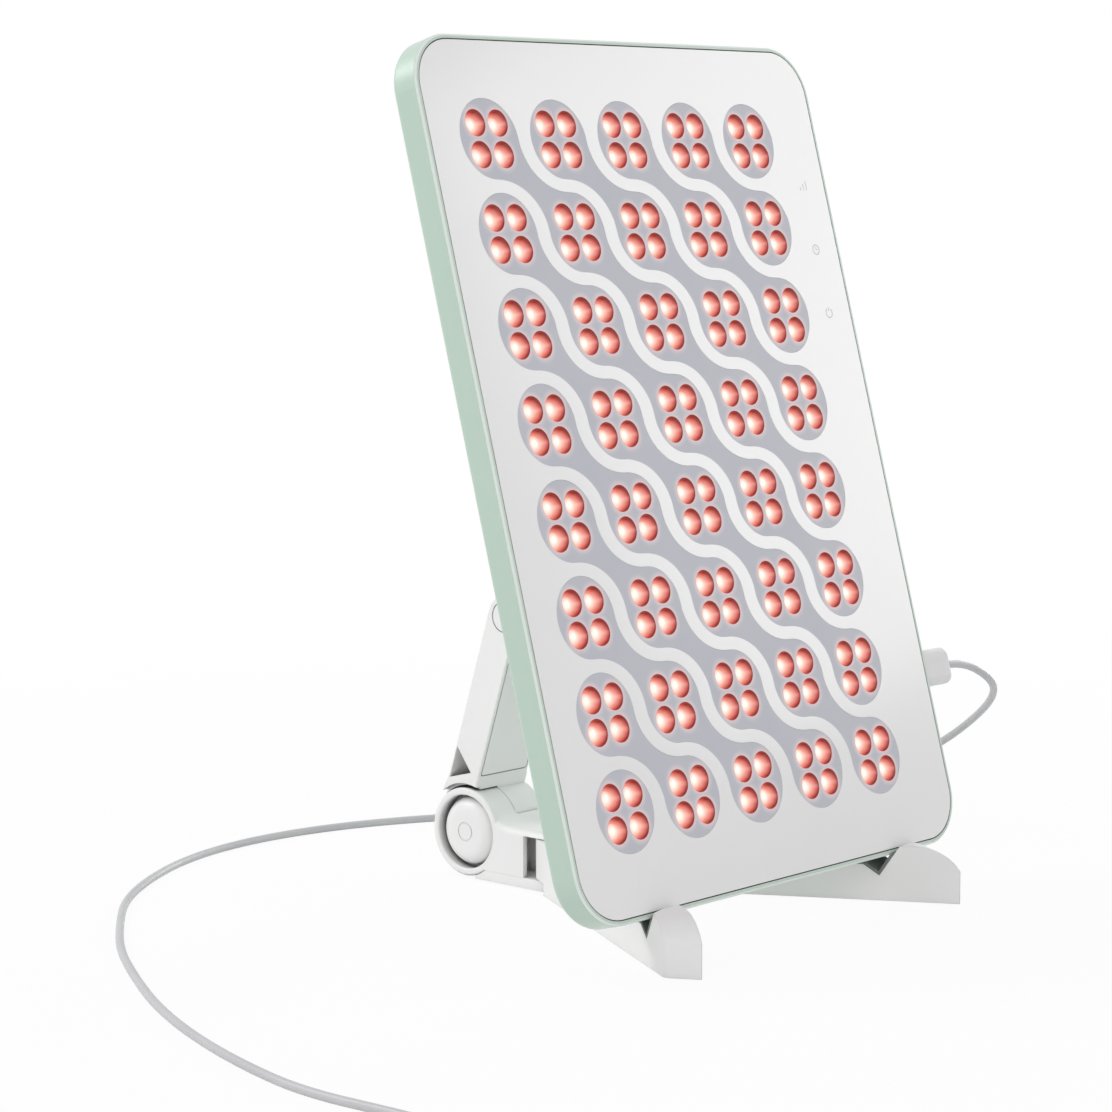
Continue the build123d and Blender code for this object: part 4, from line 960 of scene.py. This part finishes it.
# floor, world and lamps, metres
stageSettings = {
    "floorSize": 30.0,
    "floorCells": 8,
    "floorColour": "#EDEDED",
    "floorRoughness": 0.8,
    "nearLift": 0.93,   # share of plain white in what is seen of the floor round the object
    "fadeFrom": 0.3,    # from the object's middle to where it starts to fade to plain white
    "fadeTo": 0.9,
    "worldColour": "#F8F8F8",
    "worldStrength": 0.63,
}
plainWhite = {"Color": (1, 1, 1, 1), "Strength": 1.0}


def seenRays(tree):
    # 1 for what the camera, a reflection or clear plastic shows, 0 for light on the object
    rays = addNode(tree, "ShaderNodeLightPath")
    direct = addNode(tree, "ShaderNodeMath", {"operation": "MAXIMUM"},
                     {0: rays.outputs["Is Camera Ray"], 1: rays.outputs["Is Glossy Ray"]})
    return addNode(tree, "ShaderNodeMath", {"operation": "MAXIMUM"},
                   {0: direct.outputs[0], 1: rays.outputs["Is Transmission Ray"]})


def makeFloor(s):
    build = bmesh.new()
    bmesh.ops.create_grid(build, x_segments=s["floorCells"], y_segments=s["floorCells"],
                          size=s["floorSize"] / 2)
    floor = bpy.data.objects.new("floor", meshFrom(build))
    bpy.context.scene.collection.objects.link(floor)
    # matt paint, seen as nearly plain white while it still takes the object's shadow
    material, tree, shader = newMaterial(
        "paintedFloor",
        {"Base Color": hexColour(s["floorColour"]), "Roughness": s["floorRoughness"]})
    white = addNode(tree, "ShaderNodeEmission", plainWhite)
    place = addNode(tree, "ShaderNodeNewGeometry")
    away = addNode(tree, "ShaderNodeVectorMath", {"operation": "LENGTH"},
                   {0: place.outputs["Position"]})
    lift = addNode(tree, "ShaderNodeMapRange",
                   {"interpolation_type": "SMOOTHSTEP", "From Min": s["fadeFrom"],
                    "From Max": s["fadeTo"], "To Min": s["nearLift"], "To Max": 1.0},
                   {"Value": away.outputs["Value"]})
    share = addNode(tree, "ShaderNodeMath", {"operation": "MULTIPLY"},
                    {0: lift.outputs[0], 1: seenRays(tree).outputs[0]})
    mix = addNode(tree, "ShaderNodeMixShader", None,
                  {0: share.outputs[0], 1: shader.outputs[0], 2: white.outputs[0]})
    output = next(node for node in tree.nodes if node.type == "OUTPUT_MATERIAL")
    tree.links.new(mix.outputs[0], output.inputs[0])
    setMaterial(floor.data, material)


def makeWorld(s):
    world = bpy.data.worlds.new("studio")
    bpy.context.scene.world = world
    world.use_nodes = True
    tree = world.node_tree
    tree.nodes.clear()
    light = addNode(tree, "ShaderNodeBackground",
                    {"Color": hexColour(s["worldColour"]), "Strength": s["worldStrength"]})
    white = addNode(tree, "ShaderNodeBackground", plainWhite)
    mix = addNode(tree, "ShaderNodeMixShader", None,
                  {0: seenRays(tree).outputs[0], 1: light.outputs[0], 2: white.outputs[0]})
    addNode(tree, "ShaderNodeOutputWorld", None, {0: mix.outputs[0]})


softboxes = {
    "behind": {"place": (-0.9, 1.2, 1.4), "aim": (0, 0, 0.1), "size": (1.0, 1.0), "watts": 12.5},
    "left": {"place": (-1.8, -0.6, 0.7), "aim": (0, 0, 0.15), "size": (1.0, 1.1), "watts": 5.5},
    "right": {"place": (1.8, 0.3, 0.6), "aim": (0, 0, 0.15), "size": (0.6, 1.0), "watts": 7.5},
    # low enough to show as a soft brightening on the right of the front
    "front": {"place": (1.75, -1.05, 0.8), "aim": (0, 0, 0.2), "size": (0.8, 0.8), "watts": 4.5},
}


def makeSoftbox(name, s):
    data = bpy.data.lights.new(name, "AREA")
    data.shape = "RECTANGLE"
    data.size, data.size_y = s["size"]
    data.energy = s["watts"]
    lamp = bpy.data.objects.new(name, data)
    bpy.context.scene.collection.objects.link(lamp)
    lamp.location = s["place"]
    towards = Vector(s["aim"]) - Vector(s["place"])
    lamp.rotation_euler = towards.to_track_quat("-Z", "Y").to_euler()


makeFloor(stageSettings)
makeWorld(stageSettings)
for name, s in softboxes.items():
    makeSoftbox(name, s)
bpy.context.scene.view_settings.view_transform = "Standard"
print("stage lit")
